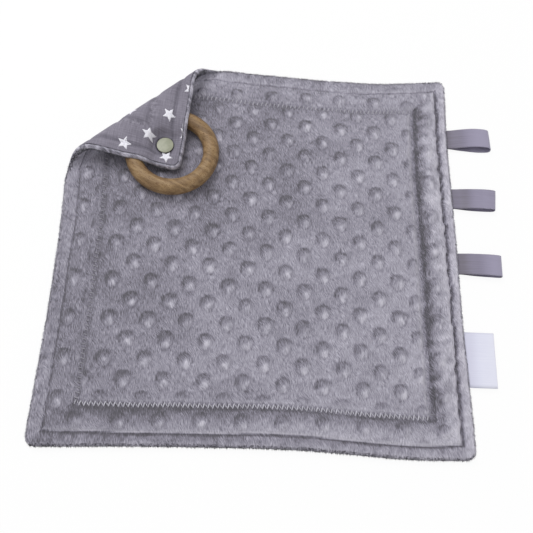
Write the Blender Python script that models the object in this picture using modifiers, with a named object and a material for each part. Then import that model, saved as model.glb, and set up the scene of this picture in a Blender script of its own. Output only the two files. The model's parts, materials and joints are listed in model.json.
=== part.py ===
"""A comfort blanket for a baby: dimpled plush sewn to star print cotton, with ribbon loops.

One corner is folded over the beech teething ring and snapped down inside it.
Metres, +Z up. The blanket lies on the plane Z = 0 with its centre at the origin, the ribbon
loops leave the edge at +X, and the folded corner is the one at -X, +Y.
"""

import math

import bmesh
import bpy
from mathutils import Vector

# The blanket, lying flat
BLANKET_SIDE = 0.300
CORNER_RADIUS = 0.007
COTTON_THICKNESS = 0.0009
FIT_GAP = 0.0003
CLOTH_THICKNESS = 0.0055
BORDER_THICKNESS = 0.0058
RIDGE_THICKNESS = 0.0064
CREASE_THICKNESS = 0.0034
ZIGZAG_THICKNESS = 0.0032
CREASE_INSET = 0.010
ZIGZAG_INSET = 0.029
FIELD_RISE = 0.009
RIM_WIDTH = 0.0026
RIM_LIP = 0.0004
HEM_WIDTH = 0.0036
HEM_STEP = 0.0014
RIM_MIDDLE_SHARE = 0.46
RIDGE_LINE_SHARES = (0.25, 0.5, 0.75)
RIM_LINE_SHARE = 0.3
SMALLEST_CELL = 0.0002
FLAT_ANGLE = math.radians(0.03)

# The raised dots of the plush
DOT_FIRST_X = -0.0357
DOT_FIRST_Y = -0.0770
DOT_PITCH = 0.0272
DOT_ROW_PITCH = 0.01374
DOT_TILT = math.radians(-2.3)
DOT_WIDTH = 0.0098
DOT_LENGTH = 0.0116
DOT_HEIGHT = 0.0021
DOT_SINK = 0.0010
DOT_SIDES = 6
DOTS_EACH_WAY = 12

# The folded corner
FOLD_LEG_LEFT = 0.089
FOLD_LEG_TOP = 0.101
ROLL_CENTRE_INSET = 0.016
ROLL_STEPS = 7
SEAM_GAP = 0.0008
TIP_DROOP = 0.0016
FLAP_CELL = 0.011
FLAP_CELLS = 3

# The teething ring
RING_OUTER_DIAMETER = 0.070
RING_SECTION_DIAMETER = 0.012
RING_ALONG_FOLD = 0.0050
RING_FROM_FOLD = 0.0509
RING_STEPS = 40
RING_SECTION_STEPS = 16
RING_COVER = 0.0045
DIP_LENGTH = 0.0090

# The snap fastener
SNAP_ALONG_FOLD = 0.0036
SNAP_FROM_FOLD = 0.0440
SNAP_CAP_DIAMETER = 0.0124
SNAP_CAP_THICKNESS = 0.0013
SNAP_CAP_EDGE = 0.0007
SNAP_BODY_DIAMETER = 0.0104
SNAP_FLANGE_THICKNESS = 0.0014
SNAP_SOCKET_HEIGHT = 0.0038
SNAP_BORE_DIAMETER = 0.0054
SNAP_BORE_DEPTH = 0.0026
SNAP_KNOB_DIAMETER = 0.0042
SNAP_KNOB_HEIGHT = 0.0022
SNAP_POST_DIAMETER = 0.0018
SNAP_POST_ENGAGEMENT = 0.0012
SNAP_CHAMFER = 0.0005
SNAP_CAP_LIFT = 0.0001
SNAP_FLAT_MARGIN = 0.0008
SNAP_RAMP = 0.0045
PINCHED_PLUSH = 0.0013
TURNED_STEPS = 32
DOME_STEPS = 5
HOLE_SIDES = 16

# The ribbon loops and the care label along the right edge
RIBBON_WIDTH = 0.016
RIBBON_REACH = 0.0272
RIBBON_THICKNESS = 0.0005
RIBBON_INNER_HEIGHT = 0.0050
RIBBON_PITCH = 0.0515
RIBBON_MIDDLE_Y = 0.0392
LABEL_WIDTH = 0.039
LABEL_REACH = 0.0170
LABEL_THICKNESS = 0.0005
LABEL_INNER_HEIGHT = 0.0006
LABEL_MIDDLE_Y = -0.0824
TAG_ROOT_GAP = 0.0004
TAG_AXIS_GAP = 0.0009
TAG_FLOOR_GAP = 0.0001
TAG_WIDENING_SHARE = 0.45
TAG_STEPS = 7
TAG_END_STEPS = 8
CUT_OVERRUN = 0.002

# Sizes that follow
HALF_SIDE = BLANKET_SIDE / 2
PLUSH_UNDERSIDE = COTTON_THICKNESS + FIT_GAP
COTTON_INSET = HEM_WIDTH + HEM_STEP + FIT_GAP
RING_SECTION_RADIUS = RING_SECTION_DIAMETER / 2
RING_RADIUS = RING_OUTER_DIAMETER / 2 - RING_SECTION_RADIUS
RING_CENTRE_Z = CLOTH_THICKNESS + FIT_GAP + RING_SECTION_RADIUS
ROLL_CENTRE_Z = RING_CENTRE_Z + (RIDGE_THICKNESS - CLOTH_THICKNESS) / 4
ROLL_MIDDLE_RADIUS = ROLL_CENTRE_Z - CLOTH_THICKNESS / 2
FLAP_TOP_Z = 2 * ROLL_CENTRE_Z
HOLE_RADIUS = RING_RADIUS - RING_SECTION_RADIUS
SNAP_CAP_RADIUS = SNAP_CAP_DIAMETER / 2
SNAP_BODY_RADIUS = SNAP_BODY_DIAMETER / 2
SNAP_POST_RADIUS = SNAP_POST_DIAMETER / 2
SNAP_FLAT = SNAP_CAP_RADIUS + SNAP_FLAT_MARGIN
PINCHED_TOP = PLUSH_UNDERSIDE + PINCHED_PLUSH
SNAP_CLOTH_LIFT = SNAP_CAP_LIFT + SNAP_CAP_THICKNESS + FIT_GAP
STUD_Z = SNAP_CLOTH_LIFT + PINCHED_TOP + FIT_GAP
SOCKET_Z = STUD_Z + SNAP_FLANGE_THICKNESS + FIT_GAP
FLAP_UNDER_SNAP_Z = SOCKET_Z + SNAP_SOCKET_HEIGHT + FIT_GAP
FLAP_TOP_AT_SNAP_Z = FLAP_UNDER_SNAP_Z + (CLOTH_THICKNESS + PINCHED_TOP) / 2
FRONT_CAP_Z = FLAP_UNDER_SNAP_Z + PINCHED_TOP + FIT_GAP
FLAP_LINE_START = HALF_SIDE - ZIGZAG_INSET - FIELD_RISE
FLAP_LINES = [FLAP_LINE_START - (step + 1) * FLAP_CELL for step in range(FLAP_CELLS)]
TAG_AXIS_X = HALF_SIDE + TAG_AXIS_GAP
TAG_AXIS_Z = RIBBON_INNER_HEIGHT / 2 + RIBBON_THICKNESS + TAG_FLOOR_GAP

# The fold line runs from the left edge to the top edge, as if the cloth were creased flat
FOLD_START = Vector((-HALF_SIDE, HALF_SIDE - FOLD_LEG_LEFT, 0))
FOLD_END = Vector((-HALF_SIDE + FOLD_LEG_TOP, HALF_SIDE, 0))
ALONG = (FOLD_END - FOLD_START).normalized()
INWARD = Vector((ALONG.y, -ALONG.x, 0))
CORNER = Vector((-HALF_SIDE, HALF_SIDE, 0))
FOLD_FOOT = FOLD_START + ALONG * (CORNER - FOLD_START).dot(ALONG)
TIP_REACH = -(CORNER - FOLD_START).dot(INWARD)
SNAP_CENTRE = FOLD_FOOT + ALONG * SNAP_ALONG_FOLD + INWARD * SNAP_FROM_FOLD
SNAP_UNFOLDED = FOLD_FOOT + ALONG * SNAP_ALONG_FOLD - INWARD * SNAP_FROM_FOLD
RING_CENTRE = FOLD_FOOT + ALONG * RING_ALONG_FOLD + INWARD * RING_FROM_FOLD
HINGE_REACH = ROLL_MIDDLE_RADIUS
HINGE_POINT = FOLD_FOOT + INWARD * HINGE_REACH
LOWER_HINGE = HINGE_POINT + Vector((0, 0, ROLL_CENTRE_Z - ROLL_MIDDLE_RADIUS))
UPPER_HINGE = HINGE_POINT + Vector((0, 0, ROLL_CENTRE_Z + ROLL_MIDDLE_RADIUS))


def smooth(value):
    """Runs from 0 to 1 with level ends."""
    value = min(1.0, max(0.0, value))
    return value * value * (3 - 2 * value)


def mix(first, second, share):
    return first + (second - first) * share


def clear_scene():
    for leftover in list(bpy.data.objects):
        bpy.data.objects.remove(leftover, do_unlink=True)


def new_collection(name):
    collection = bpy.data.collections.new(name)
    bpy.context.scene.collection.children.link(collection)
    return collection


def new_material(name, colour, roughness, metallic=0.0):
    material = bpy.data.materials.new(name)
    material.use_nodes = True
    shader = material.node_tree.nodes["Principled BSDF"]
    shader.inputs["Base Color"].default_value = (*colour, 1.0)
    shader.inputs["Roughness"].default_value = roughness
    shader.inputs["Metallic"].default_value = metallic
    material.diffuse_color = (*colour, 1.0)
    return material


def add_object(name, mesh, collection, material):
    piece = bpy.data.objects.new(name, mesh)
    collection.objects.link(piece)
    mesh.materials.append(material)
    return piece


def mesh_from(bm, name):
    mesh = bpy.data.meshes.new(name)
    bm.to_mesh(mesh)
    bm.free()
    mesh.shade_smooth()
    mesh.set_sharp_from_angle(angle=math.radians(40))
    return mesh


def inset_at(x, y):
    """How far a point of the unfolded blanket lies in from its rounded outline."""
    from_side = HALF_SIDE - abs(x)
    from_end = HALF_SIDE - abs(y)
    if from_side < CORNER_RADIUS and from_end < CORNER_RADIUS:
        return CORNER_RADIUS - math.hypot(CORNER_RADIUS - from_side, CORNER_RADIUS - from_end)
    return min(from_side, from_end)


def rounded(x, y):
    """Moves a point near one of the square's corners onto arcs about the corner's centre."""
    middle = HALF_SIDE - CORNER_RADIUS
    past_x = abs(x) - middle
    past_y = abs(y) - middle
    if past_x <= 0 or past_y <= 0:
        return x, y
    shrink = max(past_x, past_y) / math.hypot(past_x, past_y)
    round_x = math.copysign(middle + past_x * shrink, x)
    round_y = math.copysign(middle + past_y * shrink, y)
    return round_x, round_y


def pinch_at(x, y, snap):
    """One where the snap clamps the cloth, falling to zero round it."""
    out = max(abs(x - snap.x), abs(y - snap.y)) - SNAP_FLAT
    return 1 - smooth(out / SNAP_RAMP)


def rim_bulge(inset):
    """The quarter round of the rolled edge, from 0 at the outline to 1."""
    left = 1 - min(1.0, max(0.0, inset / RIM_WIDTH))
    return math.sqrt(1 - left * left)


def plush_top(x, y, snap):
    """Height of the pile over the cotton's face: rim, crease, padded ridge, zigzag and field."""
    inset = inset_at(x, y)
    middle = BORDER_THICKNESS * RIM_MIDDLE_SHARE
    if inset < CREASE_INSET:
        fall = smooth((inset - RIM_WIDTH) / (CREASE_INSET - RIM_WIDTH))
        band = mix(BORDER_THICKNESS, CREASE_THICKNESS, fall)
        top = mix(middle + RIM_LIP, band, rim_bulge(inset))
    elif inset < ZIGZAG_INSET:
        share = (inset - CREASE_INSET) / (ZIGZAG_INSET - CREASE_INSET)
        valley = mix(CREASE_THICKNESS, ZIGZAG_THICKNESS, share)
        top = mix(valley, RIDGE_THICKNESS, math.sin(math.pi * share))
    else:
        rise = smooth((inset - ZIGZAG_INSET) / FIELD_RISE)
        top = mix(ZIGZAG_THICKNESS, CLOTH_THICKNESS, rise)
    return mix(top, PINCHED_TOP, pinch_at(x, y, snap))


def plush_bottom(x, y, snap):
    """The plush turns under at its edge, down to the cotton's face, and lies on the cotton inside."""
    inset = inset_at(x, y)
    middle = BORDER_THICKNESS * RIM_MIDDLE_SHARE
    if inset < RIM_WIDTH:
        return mix(middle - RIM_LIP, 0, rim_bulge(inset))
    return PLUSH_UNDERSIDE * min(1.0, max(0.0, (inset - HEM_WIDTH) / HEM_STEP))


def cotton_top(x, y, snap):
    return COTTON_THICKNESS


def cotton_bottom(x, y, snap):
    return 0.0


def lie_flat(point, height, snap):
    """The part of the blanket that lies on the table, lifted a little over the rear cap."""
    lift = SNAP_CLOTH_LIFT * pinch_at(point.x, point.y, snap)
    return Vector((point.x, point.y, height + lift))


def slack(point, snap):
    """Half of what the stitching draws in, which sinks the cotton face of the flap."""
    return (CLOTH_THICKNESS - plush_top(point.x, point.y, snap)) / 2


def lie_rolled(point, height, snap):
    """The strip that rolls round the fold, from the blanket below to the flap above."""
    offset = (point - FOLD_START).dot(INWARD)
    along = (point - FOLD_FOOT).dot(ALONG)
    turned = (ROLL_CENTRE_INSET - offset) / (2 * ROLL_CENTRE_INSET)
    angle = math.pi * turned
    radius = ROLL_CENTRE_Z - height - slack(point, snap) * turned
    inward = ROLL_CENTRE_INSET - radius * math.sin(angle)
    place = FOLD_FOOT + ALONG * along + INWARD * inward
    place.z = ROLL_CENTRE_Z - radius * math.cos(angle)
    return place


def flap_top(place, pinch):
    """The flap runs level over the ring, dips into its hole and droops towards the tip."""
    from_ring = (place - RING_CENTRE).length
    over = smooth((from_ring - (HOLE_RADIUS + FIT_GAP - DIP_LENGTH)) / (DIP_LENGTH - RING_COVER / 2))
    from_fold = (place - FOLD_FOOT).dot(INWARD)
    start = SNAP_FROM_FOLD + SNAP_FLAT
    droop = TIP_DROOP * max(0.0, (from_fold - start) / (TIP_REACH - start))
    height = mix(FLAP_TOP_AT_SNAP_Z - droop, FLAP_TOP_Z, over)
    return mix(height, FLAP_TOP_AT_SNAP_Z, pinch)


def lie_folded(point, height, snap):
    """The folded corner, mirrored over the fold line, cotton up."""
    offset = (point - FOLD_START).dot(INWARD)
    place = point - 2 * offset * INWARD
    pinch = pinch_at(point.x, point.y, snap)
    place.z = flap_top(place, pinch) - height - slack(point, snap)
    return place


def spaced(lines):
    """The lines in order, without those that lie too close to the line before."""
    kept = []
    for line in sorted(lines):
        if not kept or line - kept[-1] > SMALLEST_CELL:
            kept.append(line)
    return kept


def cell_lines(edge, snap_at, flap_lines):
    """Where the cloth's faces are divided across one direction of the square."""
    band = ZIGZAG_INSET - CREASE_INSET
    insets = [RIM_WIDTH * RIM_LINE_SHARE, RIM_WIDTH, HEM_WIDTH, HEM_WIDTH + HEM_STEP, CREASE_INSET]
    insets += [CREASE_INSET + band * share for share in RIDGE_LINE_SHARES]
    insets += [ZIGZAG_INSET, ZIGZAG_INSET + FIELD_RISE]
    insets = [edge] + [inset for inset in insets if inset > edge]
    lines = [HALF_SIDE - inset for inset in insets]
    lines += [-line for line in lines]
    lines += [math.copysign(line, snap_at) for line in flap_lines]
    lines += [0.0, snap_at - SNAP_FLAT, snap_at + SNAP_FLAT]
    lines += [snap_at - SNAP_FLAT - SNAP_RAMP, snap_at + SNAP_FLAT + SNAP_RAMP]
    return spaced(line for line in lines if abs(line) <= HALF_SIDE - edge)


def flat_grid(edge, snap, flap_lines):
    """The unfolded blanket as one flat sheet with rounded corners, divided along its seams."""
    lines_x = cell_lines(edge, snap.x, flap_lines)
    lines_y = cell_lines(edge, snap.y, flap_lines)
    cells_x = len(lines_x) - 1
    cells_y = len(lines_y) - 1
    bm = bmesh.new()
    bmesh.ops.create_grid(bm, x_segments=cells_x, y_segments=cells_y, size=HALF_SIDE)
    for vertex in bm.verts:
        column = round((vertex.co.x / HALF_SIDE + 1) / 2 * cells_x)
        row = round((vertex.co.y / HALF_SIDE + 1) / 2 * cells_y)
        vertex.co.x, vertex.co.y = rounded(lines_x[column], lines_y[row])
    for face in bm.faces[:]:
        corners = sorted(face.verts, key=lambda vertex: vertex.co.x + vertex.co.y)
        bmesh.utils.face_split(face, corners[0], corners[-1])
    return bm


def cut_along_fold(bm, offset, keep_inner=None):
    """Divides the sheet at a distance inside the fold line, and drops one side if asked."""
    bmesh.ops.bisect_plane(
        bm,
        geom=bm.verts[:] + bm.edges[:] + bm.faces[:],
        plane_co=FOLD_START + INWARD * offset,
        plane_no=INWARD,
        clear_inner=keep_inner is True,
        clear_outer=keep_inner is False,
    )


def is_level(face):
    return abs(face.normal.z) > math.cos(FLAT_ANGLE)


def merge_level_faces(bm):
    """Makes each level stretch of the cloth one face, so that it costs few triangles."""
    inner = [vertex for vertex in bm.verts if all(is_level(face) for face in vertex.link_faces)]
    between = [edge for edge in bm.edges if all(is_level(face) for face in edge.link_faces)]
    bmesh.ops.dissolve_limit(bm, angle_limit=FLAT_ANGLE, verts=inner, edges=between)
    bmesh.ops.triangulate(bm, faces=bm.faces[:])
    bmesh.ops.recalc_face_normals(bm, faces=bm.faces[:])


def thicken(bm, top, bottom, lie, snap):
    """Gives the flat sheet its two faces and lays each point where the cloth holds it."""
    bmesh.ops.triangulate(bm, faces=bm.faces[:])
    lower = list(bm.verts)
    made = bmesh.ops.extrude_face_region(bm, geom=bm.faces[:], use_keep_orig=True)
    upper = [item for item in made["geom"] if isinstance(item, bmesh.types.BMVert)]
    for vertices, height_at in ((lower, bottom), (upper, top)):
        for vertex in vertices:
            flat = vertex.co.copy()
            vertex.co = lie(flat, height_at(flat.x, flat.y, snap), snap)
    bmesh.ops.recalc_face_normals(bm, faces=bm.faces[:])
    merge_level_faces(bm)


def cloth_piece(name, collection, material, edge, faces, lie, snap, keep, flap_lines=()):
    """One layer of one stretch of the cloth, between two distances from the fold line."""
    bm = flat_grid(edge, snap, flap_lines)
    low, high, steps = keep
    if low is not None:
        cut_along_fold(bm, low, keep_inner=True)
    if high is not None:
        cut_along_fold(bm, high, keep_inner=False)
    for step in range(1, steps):
        cut_along_fold(bm, mix(low, high, step / steps))
    thicken(bm, *faces, lie, snap)
    return add_object(name, mesh_from(bm, name), collection, material)


def post_hole(cloth, cutters, centre, z):
    """A round hole through the cloth for the post of the snap."""
    bm = bmesh.new()
    radius = SNAP_POST_RADIUS + FIT_GAP
    depth = 2 * (PINCHED_TOP + CUT_OVERRUN)
    bmesh.ops.create_cone(
        bm, cap_ends=True, segments=HOLE_SIDES, radius1=radius, radius2=radius, depth=depth
    )
    bmesh.ops.translate(bm, verts=bm.verts[:], vec=Vector((centre.x, centre.y, z)))
    cutter = bpy.data.objects.new(cloth.name + "_post_cutter", mesh_from(bm, "post_cutter"))
    cutters.objects.link(cutter)
    cutter.hide_render = True
    cutter.display_type = "WIRE"
    hole = cloth.modifiers.new("post_hole", "BOOLEAN")
    hole.operation = "DIFFERENCE"
    hole.solver = "EXACT"
    hole.object = cutter


def unrolled(place):
    """The point of the flat blanket that lies over a place once the corner is folded."""
    return place - 2 * (place - FOLD_START).dot(INWARD) * INWARD


def has_dot(place):
    """Dots stand up only on the open field: not in a seam, by the ring or under the flap."""
    reach = DOT_LENGTH / 2
    if max(abs(place.x), abs(place.y)) > HALF_SIDE - ZIGZAG_INSET - FIELD_RISE:
        return False
    if (place - FOLD_START).dot(INWARD) < ROLL_CENTRE_INSET + SEAM_GAP + reach:
        return False
    if (place - RING_CENTRE).length < RING_RADIUS + RING_SECTION_RADIUS + reach / 2:
        return False
    above = unrolled(place)
    return max(abs(above.x), abs(above.y)) > HALF_SIDE + reach


def dot_places():
    """Rows of dots, each row half a step along from the last."""
    places = []
    for row in range(-DOTS_EACH_WAY, 2 * DOTS_EACH_WAY):
        for column in range(-DOTS_EACH_WAY, DOTS_EACH_WAY):
            across = (column + (row % 2) / 2) * DOT_PITCH
            x = DOT_FIRST_X + across
            y = DOT_FIRST_Y + row * DOT_ROW_PITCH + across * math.tan(DOT_TILT)
            place = Vector((x, y, 0))
            if has_dot(place):
                places.append(place)
    return places


def raise_dots(cloth, cutters):
    """Joins a low pointed dome to the cloth at each dot, with few faces as there are many."""
    bm = bmesh.new()
    depth = DOT_HEIGHT + DOT_SINK
    widening = depth / DOT_HEIGHT
    places = dot_places()
    for place in places:
        made = bmesh.ops.create_cone(
            bm, cap_ends=True, segments=DOT_SIDES, radius1=widening / 2, radius2=0, depth=depth
        )
        bmesh.ops.scale(bm, verts=made["verts"], vec=Vector((DOT_WIDTH, DOT_LENGTH, 1)))
        lift = Vector((0, 0, CLOTH_THICKNESS - DOT_SINK + depth / 2))
        bmesh.ops.translate(bm, verts=made["verts"], vec=place + lift)
    domes = bpy.data.objects.new(cloth.name + "_dot_domes", mesh_from(bm, "dot_domes"))
    cutters.objects.link(domes)
    domes.hide_render = True
    domes.display_type = "WIRE"
    joined = cloth.modifiers.new("dots", "BOOLEAN")
    joined.operation = "UNION"
    joined.solver = "EXACT"
    joined.object = domes
    print("dots", len(places))


def add_hinge_empty(name, place, collection):
    empty = bpy.data.objects.new(name, None)
    empty.empty_display_size = ROLL_MIDDLE_RADIUS
    empty.location = place
    collection.objects.link(empty)
    return empty


def hang_on(empty, pieces):
    """Parents pieces to a hinge's empty and leaves them where they are in the world."""
    for piece in pieces:
        piece.location = piece.location - empty.location
        piece.parent = empty


def make_blanket(collection, cutters, plush, cotton):
    """The stretch that lies on the table, cut off where the fold's roll begins."""
    where = (lie_flat, SNAP_CENTRE, (ROLL_CENTRE_INSET + SEAM_GAP, None, 0))
    faces = (plush_top, plush_bottom)
    front = cloth_piece("plush_front", collection, plush, 0.0, faces, *where)
    faces = (cotton_top, cotton_bottom)
    back = cloth_piece("cotton_back", collection, cotton, COTTON_INSET, faces, *where)
    for layer in (front, back):
        post_hole(layer, cutters, SNAP_CENTRE, SNAP_CLOTH_LIFT + PINCHED_TOP / 2)
    raise_dots(front, cutters)


def make_fold(collection, plush, cotton):
    """The rolled strip of both layers between the blanket and the flap."""
    where = (lie_rolled, SNAP_UNFOLDED, (-ROLL_CENTRE_INSET, ROLL_CENTRE_INSET, ROLL_STEPS))
    faces = (plush_top, plush_bottom)
    inner = cloth_piece("plush_fold", collection, plush, 0.0, faces, *where)
    faces = (cotton_top, cotton_bottom)
    outer = cloth_piece("cotton_fold", collection, cotton, COTTON_INSET, faces, *where)
    hang_on(add_hinge_empty("fold_lower_hinge", LOWER_HINGE, collection), (inner, outer))


def make_flap(collection, cutters, plush, cotton, plastic):
    """The folded corner with the cap and the socket of its snap."""
    keep = (None, -(ROLL_CENTRE_INSET + SEAM_GAP), 0)
    faces = (plush_top, plush_bottom)
    where = (lie_folded, SNAP_UNFOLDED, keep, FLAP_LINES)
    under = cloth_piece("flap_plush", collection, plush, 0.0, faces, *where)
    faces = (cotton_top, cotton_bottom)
    over = cloth_piece("flap_cotton", collection, cotton, COTTON_INSET, faces, *where)
    for layer in (under, over):
        post_hole(layer, cutters, SNAP_CENTRE, FLAP_UNDER_SNAP_Z + PINCHED_TOP / 2)
    cap = make_front_cap(collection, plastic)
    socket = make_socket(collection, plastic)
    hang_on(add_hinge_empty("fold_upper_hinge", UPPER_HINGE, collection), (under, over, cap, socket))


def turned(name, profile, collection, material, place):
    """A turned piece: the profile runs down its outer side, in pairs of radius and height."""
    mesh = bpy.data.meshes.new(name)
    closed = all(radius > 0 for radius, _ in profile)
    points = [(radius, 0, height) for radius, height in profile]
    edges = [(index, index + 1) for index in range(len(points) - 1)]
    if closed:
        edges.append((len(points) - 1, 0))
    mesh.from_pydata(points, edges, [])
    piece = add_object(name, mesh, collection, material)
    piece.location = place
    screw = piece.modifiers.new("turning", "SCREW")
    screw.axis = "Z"
    screw.steps = TURNED_STEPS
    screw.render_steps = TURNED_STEPS
    screw.use_merge_vertices = True
    screw.merge_threshold = FIT_GAP / 10
    screw.use_smooth_shade = True
    screw.use_normal_calculate = False
    return piece


def dome(radius, edge_height, crown_height):
    """Points of a shallow dome from its middle to its edge."""
    points = []
    for step in range(DOME_STEPS + 1):
        share = step / DOME_STEPS
        rise = (crown_height - edge_height) * math.cos(math.pi / 2 * share)
        points.append((radius * share, edge_height + rise))
    return points


def make_front_cap(collection, material):
    """The round cap on the cotton face, with its post going down into the socket."""
    post_end = SOCKET_Z + SNAP_SOCKET_HEIGHT - SNAP_POST_ENGAGEMENT - FRONT_CAP_Z
    profile = dome(SNAP_CAP_RADIUS, SNAP_CAP_EDGE, SNAP_CAP_THICKNESS)
    profile += [(SNAP_CAP_RADIUS, 0), (SNAP_POST_RADIUS, 0)]
    profile += [(SNAP_POST_RADIUS, post_end), (0, post_end)]
    place = (SNAP_CENTRE.x, SNAP_CENTRE.y, FRONT_CAP_Z)
    return turned("snap_cap", profile, collection, material, place)


def make_socket(collection, material):
    """The ring under the flap that clips over the stud's knob."""
    hole = SNAP_POST_RADIUS + FIT_GAP
    bore = SNAP_BORE_DIAMETER / 2
    top = SNAP_SOCKET_HEIGHT
    profile = [(hole, top), (SNAP_BODY_RADIUS - SNAP_CHAMFER, top)]
    profile += [(SNAP_BODY_RADIUS, top - SNAP_CHAMFER), (SNAP_BODY_RADIUS, SNAP_CHAMFER)]
    profile += [(SNAP_BODY_RADIUS - SNAP_CHAMFER, 0), (bore, 0)]
    profile += [(bore, SNAP_BORE_DEPTH), (hole, SNAP_BORE_DEPTH)]
    place = (SNAP_CENTRE.x, SNAP_CENTRE.y, SOCKET_Z)
    return turned("snap_socket", profile, collection, material, place)


def make_stud(collection, material):
    """The stud on the plush face: a flange with the knob, bored from below for the rear post."""
    hole = SNAP_POST_RADIUS + FIT_GAP
    knob = SNAP_KNOB_DIAMETER / 2
    top = SNAP_FLANGE_THICKNESS + SNAP_KNOB_HEIGHT
    bore_end = SNAP_POST_ENGAGEMENT + FIT_GAP
    profile = [(0, top), (knob - SNAP_CHAMFER, top), (knob, top - SNAP_CHAMFER)]
    profile += [(knob, SNAP_FLANGE_THICKNESS), (SNAP_BODY_RADIUS, SNAP_FLANGE_THICKNESS)]
    profile += [(SNAP_BODY_RADIUS, SNAP_CHAMFER), (SNAP_BODY_RADIUS - SNAP_CHAMFER, 0)]
    profile += [(hole, 0), (hole, bore_end), (0, bore_end)]
    place = (SNAP_CENTRE.x, SNAP_CENTRE.y, STUD_Z)
    return turned("snap_stud", profile, collection, material, place)


def make_rear_cap(collection, material):
    """The flat cap under the blanket, with its post going up into the stud."""
    post_end = STUD_Z + SNAP_POST_ENGAGEMENT - SNAP_CAP_LIFT
    profile = [(0, post_end), (SNAP_POST_RADIUS, post_end)]
    profile += [(SNAP_POST_RADIUS, SNAP_CAP_THICKNESS), (SNAP_CAP_RADIUS, SNAP_CAP_THICKNESS)]
    profile += [(SNAP_CAP_RADIUS, SNAP_CHAMFER), (SNAP_CAP_RADIUS - SNAP_CHAMFER, 0), (0, 0)]
    place = (SNAP_CENTRE.x, SNAP_CENTRE.y, SNAP_CAP_LIFT)
    return turned("snap_rear_cap", profile, collection, material, place)


def make_ring(collection, material):
    """The beech teething ring, lying on the plush inside the fold."""
    bpy.ops.mesh.primitive_torus_add(
        location=(RING_CENTRE.x, RING_CENTRE.y, RING_CENTRE_Z),
        major_segments=RING_STEPS,
        minor_segments=RING_SECTION_STEPS,
        major_radius=RING_RADIUS,
        minor_radius=RING_SECTION_RADIUS,
    )
    ring = bpy.context.object
    ring.name = "teething_ring"
    ring.data.name = "teething_ring"
    for holder in list(ring.users_collection):
        holder.objects.unlink(ring)
    collection.objects.link(ring)
    ring.data.materials.append(material)
    ring.data.shade_smooth()


def loop_path(reach, inner_height, thickness):
    """Half-open loop seen from its side, from its root over the end and back."""
    root = thickness / 2 + FIT_GAP / 2
    full = (inner_height + thickness) / 2
    start = TAG_ROOT_GAP - TAG_AXIS_GAP
    straight = reach - full - thickness / 2
    upper = []
    for step in range(TAG_STEPS):
        share = step / TAG_STEPS
        height = mix(root, max(root, full), smooth(share / TAG_WIDENING_SHARE))
        upper.append((mix(start, straight, share), height))
    end = []
    for step in range(TAG_END_STEPS + 1):
        angle = math.pi / 2 - math.pi * step / TAG_END_STEPS
        end.append((straight + full * math.cos(angle), max(root, full) * math.sin(angle)))
    return upper + end + [(x, -height) for x, height in reversed(upper)]


def make_tag(name, middle_y, width, reach, inner_height, thickness, collection, material):
    """A strip folded into a loop, with its origin on the seam that it turns about."""
    bm = bmesh.new()
    points = [
        bm.verts.new((x, -width / 2, height))
        for x, height in loop_path(reach, inner_height, thickness)
    ]
    for first, second in zip(points, points[1:]):
        bm.edges.new((first, second))
    made = bmesh.ops.extrude_edge_only(bm, edges=bm.edges[:])
    across = [item for item in made["geom"] if isinstance(item, bmesh.types.BMVert)]
    bmesh.ops.translate(bm, verts=across, vec=Vector((0, width, 0)))
    bmesh.ops.recalc_face_normals(bm, faces=bm.faces[:])
    tag = add_object(name, mesh_from(bm, name), collection, material)
    tag.location = (TAG_AXIS_X, middle_y, TAG_AXIS_Z)
    wall = tag.modifiers.new("ribbon_thickness", "SOLIDIFY")
    wall.thickness = thickness
    wall.offset = 0.0
    wall.use_even_offset = True
    return tag


def make_tags(collection, satin, label):
    """Three ribbon loops and the blank care label in the seam of the right edge."""
    names = ("ribbon_loop_upper", "ribbon_loop_middle", "ribbon_loop_lower")
    for index, name in enumerate(names):
        middle_y = RIBBON_MIDDLE_Y + (1 - index) * RIBBON_PITCH
        size = (RIBBON_WIDTH, RIBBON_REACH, RIBBON_INNER_HEIGHT, RIBBON_THICKNESS)
        make_tag(name, middle_y, *size, collection, satin)
    size = (LABEL_WIDTH, LABEL_REACH, LABEL_INNER_HEIGHT, LABEL_THICKNESS)
    make_tag("care_label", LABEL_MIDDLE_Y, *size, collection, label)


def main():
    clear_scene()
    parts = new_collection("comfort_blanket")
    cutters = new_collection("cutters")
    plush = new_material("dimple_plush", (0.33, 0.30, 0.36), 0.95)
    cotton = new_material("star_print_cotton", (0.21, 0.20, 0.24), 0.9)
    satin = new_material("satin_ribbon", (0.27, 0.25, 0.30), 0.45)
    label = new_material("label_satin", (0.72, 0.73, 0.86), 0.6)
    beech = new_material("beech", (0.43, 0.26, 0.12), 0.5)
    plastic = new_material("snap_plastic", (0.50, 0.50, 0.35), 0.35)
    make_blanket(parts, cutters, plush, cotton)
    make_fold(parts, plush, cotton)
    make_flap(parts, cutters, plush, cotton, plastic)
    make_stud(parts, plastic)
    make_rear_cap(parts, plastic)
    make_ring(parts, beech)
    make_tags(parts, satin, label)


main()
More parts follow.
